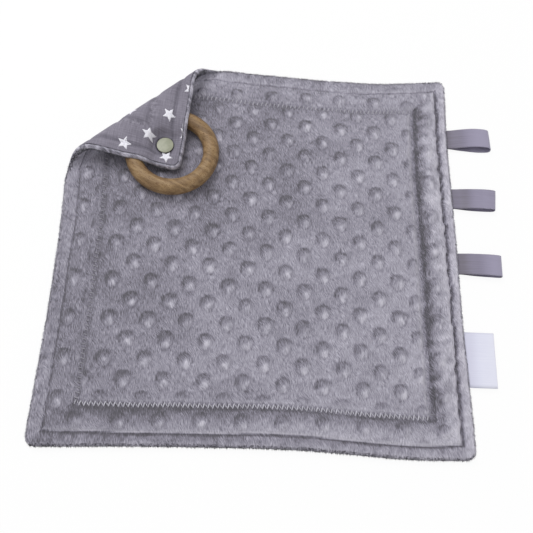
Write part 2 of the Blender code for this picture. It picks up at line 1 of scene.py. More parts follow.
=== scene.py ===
# %% [markdown]
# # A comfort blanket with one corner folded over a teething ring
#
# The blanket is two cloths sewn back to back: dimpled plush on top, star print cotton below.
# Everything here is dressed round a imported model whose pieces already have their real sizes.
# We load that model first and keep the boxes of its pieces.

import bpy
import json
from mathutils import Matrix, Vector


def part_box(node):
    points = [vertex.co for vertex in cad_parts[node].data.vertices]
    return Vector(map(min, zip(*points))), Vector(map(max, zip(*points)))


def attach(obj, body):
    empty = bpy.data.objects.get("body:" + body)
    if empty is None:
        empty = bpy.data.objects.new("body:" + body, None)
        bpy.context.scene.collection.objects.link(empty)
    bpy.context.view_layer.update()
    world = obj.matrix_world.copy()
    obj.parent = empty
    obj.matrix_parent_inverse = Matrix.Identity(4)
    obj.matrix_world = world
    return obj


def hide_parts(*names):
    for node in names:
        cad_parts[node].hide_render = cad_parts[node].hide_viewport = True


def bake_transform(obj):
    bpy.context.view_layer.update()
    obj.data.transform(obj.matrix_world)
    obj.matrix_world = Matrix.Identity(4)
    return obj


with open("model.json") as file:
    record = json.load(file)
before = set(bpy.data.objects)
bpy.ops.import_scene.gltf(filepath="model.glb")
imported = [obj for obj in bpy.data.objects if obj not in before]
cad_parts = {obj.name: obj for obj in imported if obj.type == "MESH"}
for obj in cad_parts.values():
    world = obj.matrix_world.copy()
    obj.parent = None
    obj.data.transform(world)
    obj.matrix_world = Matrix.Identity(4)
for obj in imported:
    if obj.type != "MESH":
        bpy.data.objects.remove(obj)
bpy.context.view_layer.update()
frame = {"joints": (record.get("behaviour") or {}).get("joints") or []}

# %% Modules
import json
import math

import bmesh
import bpy
import numpy as np
from mathutils import Matrix, Vector

MM = 0.001

# %% [markdown]
# ## Camera
#
# The view is a steep look down from the near side, with the picture turned a little.
# We place the camera with its own axes as the columns of a matrix. Its backward axis points
# from the target to the camera, and the roll turns the other two about it.

# %% Place the camera
CAMERA_AZIMUTH = math.radians(-7.811)
CAMERA_ELEVATION = math.radians(71.355)
CAMERA_ROLL = math.radians(9.896)
CAMERA_DISTANCE = 0.44652
CAMERA_TARGET = Vector((0.005338, -0.018694, 0.0))
CAMERA_LENS = 41.22
CAMERA_SENSOR = 36.0

flat_reach = math.cos(CAMERA_ELEVATION)
backward = Vector((
    math.sin(CAMERA_AZIMUTH) * flat_reach,
    -math.cos(CAMERA_AZIMUTH) * flat_reach,
    math.sin(CAMERA_ELEVATION),
))
level_right = (-backward).cross(Vector((0, 0, 1))).normalized()
level_up = level_right.cross(-backward)
right = level_right * math.cos(CAMERA_ROLL) + level_up * math.sin(CAMERA_ROLL)
up = level_up * math.cos(CAMERA_ROLL) - level_right * math.sin(CAMERA_ROLL)

camera = bpy.data.objects.new("camera", bpy.data.cameras.new("camera"))
bpy.context.scene.collection.objects.link(camera)
camera.data.lens = CAMERA_LENS
camera.data.sensor_width = CAMERA_SENSOR
camera.data.clip_start = 1 * MM
turn = Matrix((right, up, backward)).transposed().to_4x4()
camera.matrix_world = Matrix.Translation(CAMERA_TARGET + backward * CAMERA_DISTANCE) @ turn
bpy.context.scene.camera = camera
print("camera at", tuple(round(value, 4) for value in camera.matrix_world.translation))

# %% [markdown]
# ## Measures taken from the frame
#
# The ring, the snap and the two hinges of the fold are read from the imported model.
# The hinges lie under and over the roll of the fold, half the roll's width in from its
# centre line, so they give the fold line, the height of the roll's centre and its radius.

# %% Read the frame
joints = {joint["name"]: joint for joint in frame["joints"]}
lower_hinge = Vector(joints["corner_unfold"]["pos_m"])
upper_hinge = Vector(joints["corner_unroll"]["pos_m"])
along = -Vector(joints["corner_unfold"]["axis"]).normalized()
inward = Vector((along.y, -along.x, 0))
roll_height = (lower_hinge.z + upper_hinge.z) / 2
roll_radius = (upper_hinge.z - lower_hinge.z) / 2
foot = Vector((lower_hinge.x, lower_hinge.y, 0)) - inward * roll_radius

half_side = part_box("plush_front")[1].x
ring_low, ring_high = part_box("teething_ring")
ring_centre = (ring_low + ring_high) / 2
section_radius = (ring_high.z - ring_low.z) / 2
ring_radius = (ring_high.y - ring_low.y) / 2 - section_radius
cap_low, cap_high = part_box("snap_cap")
snap_centre = (cap_low + cap_high) / 2
cap_radius = (cap_high.x - cap_low.x) / 2
rear_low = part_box("snap_rear_cap")[0]
socket_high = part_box("snap_socket")[1].z

FIT_GAP = 0.3 * MM
CLOTH_THICKNESS = ring_low.z - FIT_GAP
ROLL_INSET = 16 * MM
CAP_THICKNESS = 1.3 * MM
print("fold foot", foot, "roll", roll_height, roll_radius, "ring", ring_radius, section_radius)

# %% [markdown]
# ## The relief of the cloth
#
# A quilted cloth is one sheet whose height follows its seams. We write that height as a
# function of a point on the unfolded blanket, so one formula serves the flat part, the roll
# and the folded corner. numpy works on whole arrays of points at once, which keeps a sheet of
# ninety thousand points quick. Random hills come from a seeded table, so each run is the same.

# %% Blending and random hills
NOISE_CELLS = 64
NOISE_MIDDLE = 32.0

# Each layer of hills has its size and its seed.
HILLS = {
    "wander": (38 * MM, 3), "ripple": (6 * MM, 4), "field": (24 * MM, 5), "dents": (8 * MM, 6),
    "pucker": (5.5 * MM, 7), "cotton pucker": (2.2 * MM, 9), "crumple": (1.6 * MM, 9),
    "clouds": (19 * MM, 21), "specks": (5 * MM, 22), "cotton clouds": (17 * MM, 24),
    "ridge": (4 * MM, 25), "rim": (3.5 * MM, 26), "folded rim": (1.8 * MM, 27),
    "streaks": (1.5 * MM, 28), "swirl": (18 * MM, 31),
}


def smooth(value):
    value = np.clip(value, 0.0, 1.0)
    return value * value * (3 - 2 * value)


def mix(first, second, share):
    return first + (second - first) * share


def bell(distance, width, power=2):
    """One at no distance, falling away to both sides over that width."""
    return np.exp(-(distance / width) ** power)


def unit(vectors):
    return vectors / np.maximum(np.linalg.norm(vectors, axis=-1, keepdims=True), 1e-12)


def hills(x, y, size, seed):
    """Smooth random heights from -1 to 1, one hill in each stretch of that size."""
    table = np.random.default_rng(seed).uniform(-1, 1, (NOISE_CELLS, NOISE_CELLS))
    column = x / size + NOISE_MIDDLE
    row = y / size + NOISE_MIDDLE
    left = np.floor(column).astype(int)
    low = np.floor(row).astype(int)
    across = smooth(column - left)
    upward = smooth(row - low)

    def corner(right_by, up_by):
        return table[(left + right_by) % NOISE_CELLS, (low + up_by) % NOISE_CELLS]

    lower = mix(corner(0, 0), corner(1, 0), across)
    upper = mix(corner(0, 1), corner(1, 1), across)
    return mix(lower, upper, upward)


# %% Distance in from the edge
CORNER_RADIUS = 7 * MM


def inset_of(x, y):
    """How far a point of the unfolded blanket lies in from its rounded outline."""
    from_side = half_side - np.abs(x)
    from_end = half_side - np.abs(y)
    in_corner = (from_side < CORNER_RADIUS) & (from_end < CORNER_RADIUS)
    to_corner = np.hypot(CORNER_RADIUS - from_side, CORNER_RADIUS - from_end)
    return np.where(in_corner, CORNER_RADIUS - to_corner, np.minimum(from_side, from_end))


def along_edge(x, y):
    return np.where(half_side - np.abs(x) < half_side - np.abs(y), y, x)


# %% The plush dots
DOT_FIRST_X = -35.7 * MM
DOT_FIRST_Y = -77.0 * MM
DOT_PITCH = 27.2 * MM
DOT_ROW_PITCH = 13.74 * MM
DOT_SLANT = -1.08 * MM
DOT_HALF_WIDTH = 5.3 * MM
DOT_HALF_LENGTH = 6.4 * MM
DOT_HEIGHT = 2.1 * MM
DOT_TAPER = 0.2
DOT_FULLNESS = 1.2
DOT_WANDER = 0.5 * MM
DOT_VARIATION = 0.07
DOT_SEED = 11
ROW_BULGE = 0.25
ROW_STRETCH = 0.6
ROW_TWIST = -0.6


def dot_spots(x, y):
    """Where points lie in their nearest dot, in half widths across it and half lengths up it."""
    place_x, place_y = bowed(x, y)
    share_x = np.clip(place_x / half_side, -1, 1)
    share_y = np.clip(place_y / half_side, -1, 1)
    columns = (place_x - DOT_FIRST_X) / DOT_PITCH
    rows = (place_y - DOT_FIRST_Y - DOT_SLANT * columns) / DOT_ROW_PITCH
    rows = rows + ROW_BULGE * (share_x ** 2 + share_y ** 2)
    rows = rows + ROW_STRETCH * share_y ** 3 + ROW_TWIST * share_x * share_y ** 2
    row = np.round(rows).astype(int)
    half_step = (row % 2) / 2
    column = np.round(columns - half_step).astype(int)
    table = np.random.default_rng(DOT_SEED).uniform(-1, 1, (NOISE_CELLS, NOISE_CELLS, 4))
    own = table[row % NOISE_CELLS, column % NOISE_CELLS]
    across = (columns - half_step - column) * DOT_PITCH + DOT_WANDER * own[..., 2]
    upward = (rows - row) * DOT_ROW_PITCH + DOT_WANDER * own[..., 3]
    length = DOT_HALF_LENGTH * (1 + DOT_VARIATION * own[..., 0])
    width = DOT_HALF_WIDTH * (1 + DOT_VARIATION * own[..., 1])
    width = width * (1 + DOT_TAPER * upward / length)
    return across / width, upward / length


def dots(x, y):
    """Height of the raised dots."""
    across, upward = dot_spots(x, y)
    return DOT_HEIGHT * np.clip(1 - across ** 2 - upward ** 2, 0, 1) ** DOT_FULLNESS


# %% [markdown]
# ### Seams
#
# A straight seam and a zigzag run round the blanket. A value with four numbers is for its
# right, far, left and near side, because hand-laid cloth is never drawn the same on all four.

# %% Numbers for the seams and the border
RIM_MIDDLE = 2.67 * MM
RIM_WIDTH = 2.6 * MM
BORDER_HEIGHT = 5.6 * MM
BORDER_CROWN = 0.7 * MM
CHANNEL_CROWN = 0.9 * MM
CROWN_SIDES = (2.6, 1.0, 1.0, 1.0)
CREASE_INSET = 10.2 * MM
CREASE_WIDTH = 1.0 * MM
CREASE_DEPTH = 2.7 * MM
TROUGH_WIDTH = 3.4 * MM
TROUGH_DEPTH = 0.7 * MM
ZIGZAG_INSET = 29 * MM
ZIGZAG_WIDTH = 2.9 * MM
ZIGZAG_DEPTH = 2.0 * MM
DIP_WIDTH = 7 * MM
DIP_DEPTH = 0.5 * MM
CREASE_SIDES = (0.9, 0.22, 0.35, 0.5)
ZIGZAG_SIDES = (1.15, 0.35, 0.5, 0.4)
PUCKER_SIDES = (2.2, 1.0, 0.8, 0.5)
CREASE_SHIFTS = (-2.6 * MM, 0.0, 0.0, -1.5 * MM)
ZIGZAG_SHIFTS = (0.0, 0.0, 1.0 * MM, -1.4 * MM)
ZIGZAG_DRIFT = 2.4 * MM
DRIFT_REACH = 20 * MM
SEAM_WOBBLE = 0.7 * MM
SEAM_RIPPLE = (1.1, 0.2, 0.35, 0.15)
HOLD_SIDES = (2.6, 4.0, 4.0, 6.0)
PUCKER_HEIGHT = 0.5 * MM
PUCKER_REACH = 6 * MM
FIELD_HILLS = 0.35 * MM
FIELD_DENTS = 0.15 * MM
SIDE_BLEND = 16 * MM
BORDER_STEP = 1 * MM

# %% Where the seams run
def by_side(x, y, sides):
    """A value for each side of the blanket, blended round its corners."""
    across = np.where(x > 0, sides[0], sides[2])
    upward = np.where(y > 0, sides[1], sides[3])
    return mix(upward, across, smooth((np.abs(x) - np.abs(y)) / SIDE_BLEND + 0.5))


def seam_places(x, y):
    """Insets of points, the straight seam and the zigzag. Both seams wander, as sewn ones do."""
    edge = along_edge(x, y)
    other_edge = np.sign(x + y) * edge
    wander = hills(edge, other_edge, *HILLS["wander"]) * SEAM_WOBBLE
    middle = 1 - (edge / half_side) ** 4
    ripple = hills(edge, other_edge, *HILLS["ripple"]) * by_side(x, y, SEAM_RIPPLE) * MM
    crease = CREASE_INSET + (by_side(x, y, CREASE_SHIFTS) + ripple) * middle + wander
    zigzag = ZIGZAG_INSET + by_side(x, y, ZIGZAG_SHIFTS) + wander * 0.8
    zigzag = zigzag - ZIGZAG_DRIFT * smooth(-offset_of(x, y) / DRIFT_REACH)
    return inset_of(x, y), crease, zigzag


def held_by_seams(x, y):
    """One on open cloth, falling to zero where a seam or the edge presses the dots flat."""
    inset, crease, zigzag = seam_places(x, y)
    trough = bell(inset - crease, TROUGH_WIDTH)
    held_flat = bell(inset - zigzag, by_side(x, y, HOLD_SIDES) * MM)
    in_border = smooth((crease - inset) / BORDER_STEP + 0.5)
    return (1 - trough) * (1 - held_flat) * (1 - 0.85 * in_border)


# %% Height of the plush
def round_edge(inset):
    """Rises from zero at the edge to one inside it, along a quarter circle."""
    left = 1 - np.clip(inset / RIM_WIDTH, 0, 1)
    return np.sqrt(1 - left * left)


def plush_relief(x, y):
    """Height of the pile over the cotton's outer face, without dots or the pinch of the snap."""
    inset, crease, zigzag = seam_places(x, y)
    from_crease = inset - crease
    from_zigzag = inset - zigzag
    in_border = np.clip(inset / crease, 0, 1)
    in_channel = np.clip(from_crease / (zigzag - crease), 0, 1)
    border = BORDER_HEIGHT + BORDER_CROWN * np.sin(np.pi * in_border)
    crown = CHANNEL_CROWN * by_side(x, y, CROWN_SIDES)
    channel = CLOTH_THICKNESS + crown * np.sin(np.pi * in_channel)
    near_seam = bell(from_crease, PUCKER_REACH) + 0.7 * bell(from_zigzag, PUCKER_REACH)
    pucker = PUCKER_HEIGHT * by_side(x, y, PUCKER_SIDES) * near_seam
    groove = CREASE_DEPTH * bell(from_crease, CREASE_WIDTH)
    trough = TROUGH_DEPTH * bell(from_crease, TROUGH_WIDTH)
    valley = ZIGZAG_DEPTH * bell(from_zigzag, ZIGZAG_WIDTH, 4)
    dip = DIP_DEPTH * bell(from_zigzag, DIP_WIDTH)
    height = (
        mix(border, channel, smooth(from_crease / (2 * MM) + 0.5))
        + pucker * hills(along_edge(x, y), inset, *HILLS["pucker"])
        + FIELD_HILLS * hills(x, y, *HILLS["field"])
        + FIELD_DENTS * hills(x, y, *HILLS["dents"])
        - by_side(x, y, CREASE_SIDES) * (groove + trough)
        - by_side(x, y, ZIGZAG_SIDES) * (valley + dip)
    )
    return mix(RIM_MIDDLE, height, round_edge(inset))


def plush_height(x, y):
    return plush_relief(x, y) + dots(x, y) * held_by_seams(x, y)


# %% The fold line and the snap's pinch
PLUSH_UNDERSIDE = 1.2 * MM
PINCHED_TOP = 2.5 * MM
SNAP_FLAT = cap_radius + 0.8 * MM
SNAP_RAMP = 5.5 * MM
HEM_WIDTH = 2.0 * MM
HEM_STEP = 0.45 * MM
HEM_HEIGHT = 0.1 * MM
COTTON_INSET = HEM_WIDTH + HEM_STEP + FIT_GAP / 2
COTTON_THICKNESS = 0.9 * MM
COTTON_LIFT = 0.12 * MM
COTTON_PUCKER = 0.4 * MM
REAR_LIFT = rear_low.z + CAP_THICKNESS + FIT_GAP


def mirrored(point):
    return point - 2 * (point - foot).dot(inward) * inward


snap_flat = Vector((snap_centre.x, snap_centre.y, 0))
snap_unfolded = mirrored(snap_flat)


def offset_of(x, y):
    """Distance of an unfolded point in from the fold line, negative on the folded corner."""
    return (x - foot.x) * inward.x + (y - foot.y) * inward.y


def run_of(x, y):
    """Distance of a point along the fold line."""
    return (x - foot.x) * along.x + (y - foot.y) * along.y


def pinch(x, y):
    """One where a half of the snap clamps the cloth, falling to zero round it."""
    fold = offset_of(x, y) < 0
    centre_x = np.where(fold, snap_unfolded.x, snap_flat.x)
    centre_y = np.where(fold, snap_unfolded.y, snap_flat.y)
    out = np.hypot(x - centre_x, y - centre_y) - SNAP_FLAT
    return 1 - smooth(out / SNAP_RAMP)


# %% The faces of both cloths
def plush_face(x, y):
    return mix(plush_height(x, y), PINCHED_TOP, pinch(x, y))


def plush_back(x, y):
    """The plush turns under at its edge and lies on the cotton inside."""
    inset = inset_of(x, y)
    hem = mix(RIM_MIDDLE, HEM_HEIGHT, round_edge(inset))
    inside = PLUSH_UNDERSIDE * np.clip((inset - HEM_WIDTH) / HEM_STEP, 0, 1)
    return np.where(inset < HEM_WIDTH, hem, np.maximum(inside, HEM_HEIGHT))


def cotton_face(x, y):
    """The cotton's outer side, drawn in a little along both rows of stitches."""
    inset, crease, zigzag = seam_places(x, y)
    pucker = np.clip(hills(x, y, *HILLS["cotton pucker"]), 0, 1)
    seam = bell(inset - crease, 1.2 * MM)
    crumpled = bell(inset - zigzag, 2.4 * MM, 4)
    return COTTON_LIFT + COTTON_PUCKER * (pucker * crumpled + 0.7 * seam)


def cotton_back(x, y):
    return np.full_like(x, COTTON_THICKNESS)


# %% [markdown]
# ## The way the blanket lies
#
# The same point can lie flat, on the roll or on the folded corner. On the roll it goes round
# a centre line at a radius that its height sets, and past it it is mirrored over the fold line.
# The edges also bow inward between the corners, as a soft hem does.

# %% The outline's bow
EDGE_SHARES = (-1.0, -0.75, -0.45, -0.15, 0.1, 0.4, 0.7, 0.88, 1.0)
BOTTOM_BOW = (0.0, 1.2, 2.6, 3.0, 3.6, 1.8, -1.6, -1.0, 0.0)
TOP_BOW = (0.0, 1.0, 2.5, 6.1, 8.0, 9.8, 9.8, 5.6, 3.0)
LEFT_BOW = (0.6, 2.0, 3.8, 4.2, 4.0, 2.0, 1.0, 0.0, 0.0)
RIGHT_BOW = (0.0, 1.0, 2.8, 2.9, 3.0, 4.4, 4.8, 3.6, 3.0)
BOW_REACH = 95 * MM
BOW_SMOOTHING = 0.16


def bow_at(share, bows):
    """How far an edge is drawn in, from listed amounts in millimetres."""
    steps = np.linspace(-BOW_SMOOTHING, BOW_SMOOTHING, 5)
    total = sum(np.interp(np.clip(share + step, -1, 1), EDGE_SHARES, bows) for step in steps)
    return total / len(steps) * MM


def bowed(x, y):
    across = np.clip(x / half_side, -1, 1)
    upward = np.clip(y / half_side, -1, 1)

    def near(distance):
        return smooth(1 - distance / BOW_REACH)

    new_x = x + bow_at(upward, LEFT_BOW) * near(half_side + x)
    new_x = new_x - bow_at(upward, RIGHT_BOW) * near(half_side - x)
    new_y = y + bow_at(across, BOTTOM_BOW) * near(half_side + y)
    new_y = new_y - bow_at(across, TOP_BOW) * near(half_side - y)
    return new_x, new_y


# %% The folded corner over the ring
FLAP_TOP = 2 * roll_height
ROLL_SQUEEZE = 0.75
OVER_RING = ring_high.z + 3.3 * MM
CLIMB_START = 4 * MM
CLIMB_START_AT_TIP = 14 * MM
CLIMB_END = ring_radius - 2 * MM
FOLD_RUN = 20 * MM
TIP_DROOP = 1.6 * MM
SOFT_SINK = 0.3 * MM
STITCH_DRAW = 1.15 * MM
flap_at_snap = socket_high + FIT_GAP + (CLOTH_THICKNESS + PINCHED_TOP) / 2
snap_from_fold = (snap_flat - foot).dot(inward)
tip_from_fold = -(Vector((-half_side, half_side, 0)) - foot).dot(inward)


def flap_level(x, y, pinched):
    """The folded corner falls from the roll over the ring, and runs straight on to the snap."""
    from_ring = np.hypot(x - ring_centre.x, y - ring_centre.y)
    from_fold = offset_of(x, y)
    toward_tip = smooth((from_fold - snap_from_fold) / (10 * MM) + 0.5)
    start = mix(CLIMB_START, CLIMB_START_AT_TIP, toward_tip)
    climb = np.clip((from_ring - start) / (CLIMB_END - start), 0, 1)
    begin = snap_from_fold + SNAP_FLAT
    droop = TIP_DROOP * np.clip((from_fold - begin) / (tip_from_fold - begin), 0, 1)
    height = mix(flap_at_snap - droop, OVER_RING, mix(climb, smooth(climb), 0.6))
    height = mix(FLAP_TOP, height, smooth((from_fold - ROLL_INSET) / FOLD_RUN))
    return mix(height, flap_at_snap, pinched)


def ring_wall(x, y):
    """Half the ring's thickness over a point, and zero beside the ring."""
    out = np.hypot(x - ring_centre.x, y - ring_centre.y) - ring_radius
    return np.sqrt(np.clip(section_radius ** 2 - out ** 2, 0, None))


# %% Lay the cloth
def lay(x, y, height, draw):
    """Places unfolded points at a height over the cotton's face. draw is what stitching sinks."""
    flat_x, flat_y = bowed(x, y)
    offset = offset_of(flat_x, flat_y)
    run = run_of(flat_x, flat_y)
    pinched = pinch(x, y)
    turned = np.clip((ROLL_INSET - offset) / (2 * ROLL_INSET), 0, 1)
    angle = np.pi * turned
    radius = roll_height - height - draw * turned
    across = np.where(offset > 0, offset, -offset)
    rolled = ROLL_INSET - ROLL_SQUEEZE * radius * np.sin(angle)
    across = np.where(np.abs(offset) < ROLL_INSET, rolled, across)
    place_x = foot.x + along.x * run + inward.x * across
    place_y = foot.y + along.y * run + inward.y * across
    wall = ring_wall(place_x, place_y)
    flat_z = height + REAR_LIFT * pinched
    under_ring = ring_centre.z - wall + SOFT_SINK
    flat_z = np.where((wall > 0) & (flat_z > under_ring), under_ring, flat_z)
    rolled_z = roll_height - radius * np.cos(angle)
    folded_z = flap_level(place_x, place_y, pinched) - height - draw
    over_ring = ring_centre.z + wall - SOFT_SINK
    folded_z = np.where((wall > 0) & (folded_z < over_ring), over_ring, folded_z)
    height_z = np.where(offset > ROLL_INSET, flat_z, rolled_z)
    height_z = np.where(offset < -ROLL_INSET, folded_z, height_z)
    return np.stack([place_x, place_y, height_z], axis=-1)


def draw_in(x, y):
    """Half of what the stitching takes from the thickness, without the dots."""
    inset, crease, zigzag = seam_places(x, y)
    groove = bell(inset - crease, 1.4 * MM)
    valley = bell(inset - zigzag, 2.4 * MM)
    drawn = STITCH_DRAW * np.maximum(groove, valley)
    return mix(drawn, (CLOTH_THICKNESS - PINCHED_TOP) / 2, pinch(x, y))


# %% [markdown]
# ## From formula to mesh
#
# The sheet is a grid over the unfolded blanket, closer together near the edge where the hem
# turns under. A stretch of it, such as the roll, takes the cells whose middles lie there, so
# neighbours share their border points and no gap can open. Each stretch becomes a closed body:
# its visible face, its back face and the walls between them. Under the widest stretch the back
# is hidden, so only a rim of it is built and one large face closes the rest.

# %% Grid lines and the four stretches
EDGE_STEPS = (0.0, 0.12, 0.45, 0.95, 1.6, 2.4, 3.3, 4.3, 5.3)
CLOTH_CELL = 1.0 * MM
SEAM_STEP = ROLL_INSET + 0.5 * MM
STRETCHES = {
    "blanket": (SEAM_STEP, 1.0),
    "lower_roll": (0.0, SEAM_STEP),
    "upper_roll": (-SEAM_STEP, 0.0),
    "flap": (-1.0, -SEAM_STEP),
}


def grid_lines(edge):
    """Places across the square, with closer lines near both edges."""
    near = [step * MM for step in EDGE_STEPS if step * MM >= edge] or [edge]
    if near[0] > edge:
        near.insert(0, edge)
    inner = half_side - near[-1]
    middle = np.linspace(-inner, inner, round(2 * inner / CLOTH_CELL) + 1)
    low = [-half_side + step for step in near[:-1]]
    return np.array([*low, *middle, *[-line for line in reversed(low)]])


def rounded(x, y):
    """Moves points near a corner of the square onto arcs about the corner's centre."""
    middle = half_side - CORNER_RADIUS
    past_x = np.abs(x) - middle
    past_y = np.abs(y) - middle
    inside = (past_x > 0) & (past_y > 0)
    far = np.maximum(past_x, past_y)
    shrink = np.where(inside, far / np.maximum(np.hypot(past_x, past_y), 1e-9), 1)
    round_x = np.copysign(middle + past_x * shrink, x)
    round_y = np.copysign(middle + past_y * shrink, y)
    return np.where(inside, round_x, x), np.where(inside, round_y, y)


# %% Cells of the grid
def vertex_normals(grid):
    """Outward directions of a grid of points, from the steps to its neighbours."""
    step_x = np.gradient(grid, axis=0)
    step_y = np.gradient(grid, axis=1)
    return unit(np.cross(step_x, step_y))


def grid_quads(cells, index, flipped):
    columns, rows = np.nonzero(cells)
    quads = np.stack([
        index[columns, rows], index[columns + 1, rows],
        index[columns + 1, rows + 1], index[columns, rows + 1],
    ], axis=1)
    return quads[:, ::-1] if flipped else quads


def border_edges(cells):
    """The cell borders with a cell on one side only, as pairs of grid corners going round it."""
    padded = np.pad(cells, 1)
    pairs = []
    for columns, rows, first, second in (
        (0, -1, (0, 0), (1, 0)), (1, 0, (1, 0), (1, 1)),
        (0, 1, (1, 1), (0, 1)), (-1, 0, (0, 1), (0, 0)),
    ):
        beside = np.roll(padded, (-columns, -rows), (0, 1))[1:-1, 1:-1]
        at_x, at_y = np.nonzero(cells & ~beside)
        start = np.stack([at_x + first[0], at_y + first[1]], axis=1)
        end = np.stack([at_x + second[0], at_y + second[1]], axis=1)
        pairs.append(np.stack([start, end], axis=1))
    return np.concatenate(pairs)


def corners_of(cells):
    """Marks the grid corners that the marked cells touch."""
    used = np.zeros((cells.shape[0] + 1, cells.shape[1] + 1), bool)
    for right_by, up_by in ((0, 0), (1, 0), (1, 1), (0, 1)):
        end_x = used.shape[0] - 1 + right_by
        end_y = used.shape[1] - 1 + up_by
        used[right_by:end_x, up_by:end_y] |= cells
    return used


# %% One layer of cloth
class Cloth:
    """A layer of the blanket on one grid. outward is 1 if its face looks up, -1 if down."""

    def __init__(self, label, outward, edge, height, back_height, tone, radius):
        self.label = label
        self.outward = outward
        self.edge = edge
        self.height = height
        self.radius = radius
        self.layer = {}
        self.threads = {}
        lines = grid_lines(edge)
        self.x, self.y = rounded(*np.meshgrid(lines, lines, indexing="ij"))
        draw = draw_in(self.x, self.y)
        self.face = lay(self.x, self.y, height(self.x, self.y), draw)
        self.back = lay(self.x, self.y, back_height(self.x, self.y), draw)
        self.normals = vertex_normals(self.face) * outward
        self.shade = tone(self.x, self.y)
        middle_x = (self.x[:-1, :-1] + self.x[1:, 1:]) / 2
        middle_y = (self.y[:-1, :-1] + self.y[1:, 1:]) / 2
        self.cell_offset = offset_of(middle_x, middle_y)
        self.cell_inset = inset_of(middle_x, middle_y)

    def cells_of(self, stretch):
        low, high = STRETCHES[stretch]
        return (self.cell_offset > low) & (self.cell_offset <= high)

    def flat_area(self, cells):
        wide = np.diff(self.x, axis=0)[:, :-1]
        high = np.diff(self.y, axis=1)[:-1, :]
        return float(np.abs(wide * high)[cells].sum())

    def unfolded(self, cells):
        """The size of the straight piece that this stretch was, along and across the fold."""
        used = corners_of(cells)
        places = self.x[used], self.y[used]
        return float(np.ptp(run_of(*places))), float(np.ptp(offset_of(*places)))


# %% Put points and faces into a mesh
def new_mesh_object(name, points, faces, normals=None):
    """An object from an array of points and arrays of faces, with smooth shading."""
    mesh = bpy.data.meshes.new(name)
    corners = np.concatenate([group.ravel() for group in faces]).astype(np.int32)
    sizes = np.concatenate([np.full(len(group), group.shape[1]) for group in faces])
    starts = np.concatenate([[0], np.cumsum(sizes)[:-1]]).astype(np.int32)
    mesh.vertices.add(len(points))
    mesh.vertices.foreach_set("co", points.astype(np.float32).ravel())
    mesh.loops.add(len(corners))
    mesh.loops.foreach_set("vertex_index", corners)
    mesh.polygons.add(len(sizes))
    mesh.polygons.foreach_set("loop_start", starts)
    mesh.update(calc_edges=True)
    mesh.validate()
    mesh.shade_smooth()
    if normals is not None:
        mesh.normals_split_custom_set_from_vertices(normals)
    item = bpy.data.objects.new(name, mesh)
    bpy.context.scene.collection.objects.link(item)
    return item


def add_uv(item, name, values):
    """A UV map from one pair of values for each face corner."""
    layer = item.data.uv_layers.new(name=name)
    layer.data.foreach_set("uv", values.astype(np.float32).ravel())


def loop_points(item):
    indices = np.empty(len(item.data.loops), np.int32)
    item.data.loops.foreach_get("vertex_index", indices)
    return indices


def add_value(item, name, values):
    layer = item.data.attributes.new(name, "FLOAT", "POINT")
    layer.data.foreach_set("value", values.astype(np.float32))


def face_outward(item):
    solid = bmesh.new()
    solid.from_mesh(item.data)
    bmesh.ops.recalc_face_normals(solid, faces=solid.faces)
    solid.to_mesh(item.data)
    solid.free()


# %% Close a sheet with its back and walls
BAKE_TOP = 0.985
BAKE_HIDDEN = 0.987
BAKE_HIDDEN_SHARE = 0.012


def shell(name, face, back, cells, back_cells, plan, face_up, shade=None):
    """A closed body between two faces of a grid. plan holds the points' places when flat."""
    used = corners_of(cells)
    back_used = corners_of(back_cells)
    index = np.cumsum(used.ravel()).reshape(used.shape) - 1
    same = used & (np.linalg.norm(face - back, axis=-1) < 1e-6)
    own = back_used & ~same
    back_index = used.sum() + np.cumsum(own.ravel()).reshape(own.shape) - 1
    back_index = np.where(same, index, back_index)
    border = border_edges(cells)
    start = tuple(border[:, 0].T)
    end = tuple(border[:, 1].T)
    wall = np.stack([index[end], index[start], back_index[start], back_index[end]], axis=1)
    if not face_up:
        wall = wall[:, ::-1]
    doubled = (index[start] == back_index[start]) | (index[end] == back_index[end])
    top = grid_quads(cells, index, not face_up)
    low = grid_quads(back_cells, back_index, face_up)
    points = np.concatenate([face[used], back[own]])
    item = new_mesh_object(name, points, [top, low, wall[~doubled]])
    mesh = item.data
    flat = np.concatenate([plan[used], plan[own]])

    normals = np.empty(len(points) * 3, np.float32)
    mesh.vertex_normals.foreach_get("vector", normals)
    normals = normals.reshape(-1, 3)
    grid_normals = vertex_normals(face)[used] * (1 if face_up else -1)
    inner = ~same[used]
    normals[:len(inner)][inner] = grid_normals[inner]
    mesh.normals_split_custom_set_from_vertices(normals)

    loops = loop_points(item)
    add_uv(item, "cloth", flat[loops])
    low_corner = flat.min(axis=0)
    spread = np.ptp(flat, axis=0)
    share = (flat - low_corner) / spread
    bake = share[loops]
    bake[:, 1] = BAKE_HIDDEN + bake[:, 1] * BAKE_HIDDEN_SHARE
    shown = top.size
    bake[:shown, 1] = share[loops[:shown], 1] * BAKE_TOP
    add_uv(item, "OFBake", bake)
    if shade is not None:
        add_value(item, "tone_with_painted_light", np.concatenate([shade[used], shade[own]]))
    return item


# %% Fill the middle of a back
def close_back(item, face_up):
    """Fills the hole left in a back that has only a rim."""
    solid = bmesh.new()
    solid.from_mesh(item.data)
    open_edges = [edge for edge in solid.edges if edge.is_boundary]
    filled = bmesh.ops.edgeloop_fill(solid, edges=open_edges)["faces"]
    for patch in filled:
        patch.normal_update()
        if (patch.normal.z > 0) == face_up:
            patch.normal_flip()
    solid.to_mesh(item.data)
    solid.free()
    print(item.name, "closed with", len(filled), "large faces")


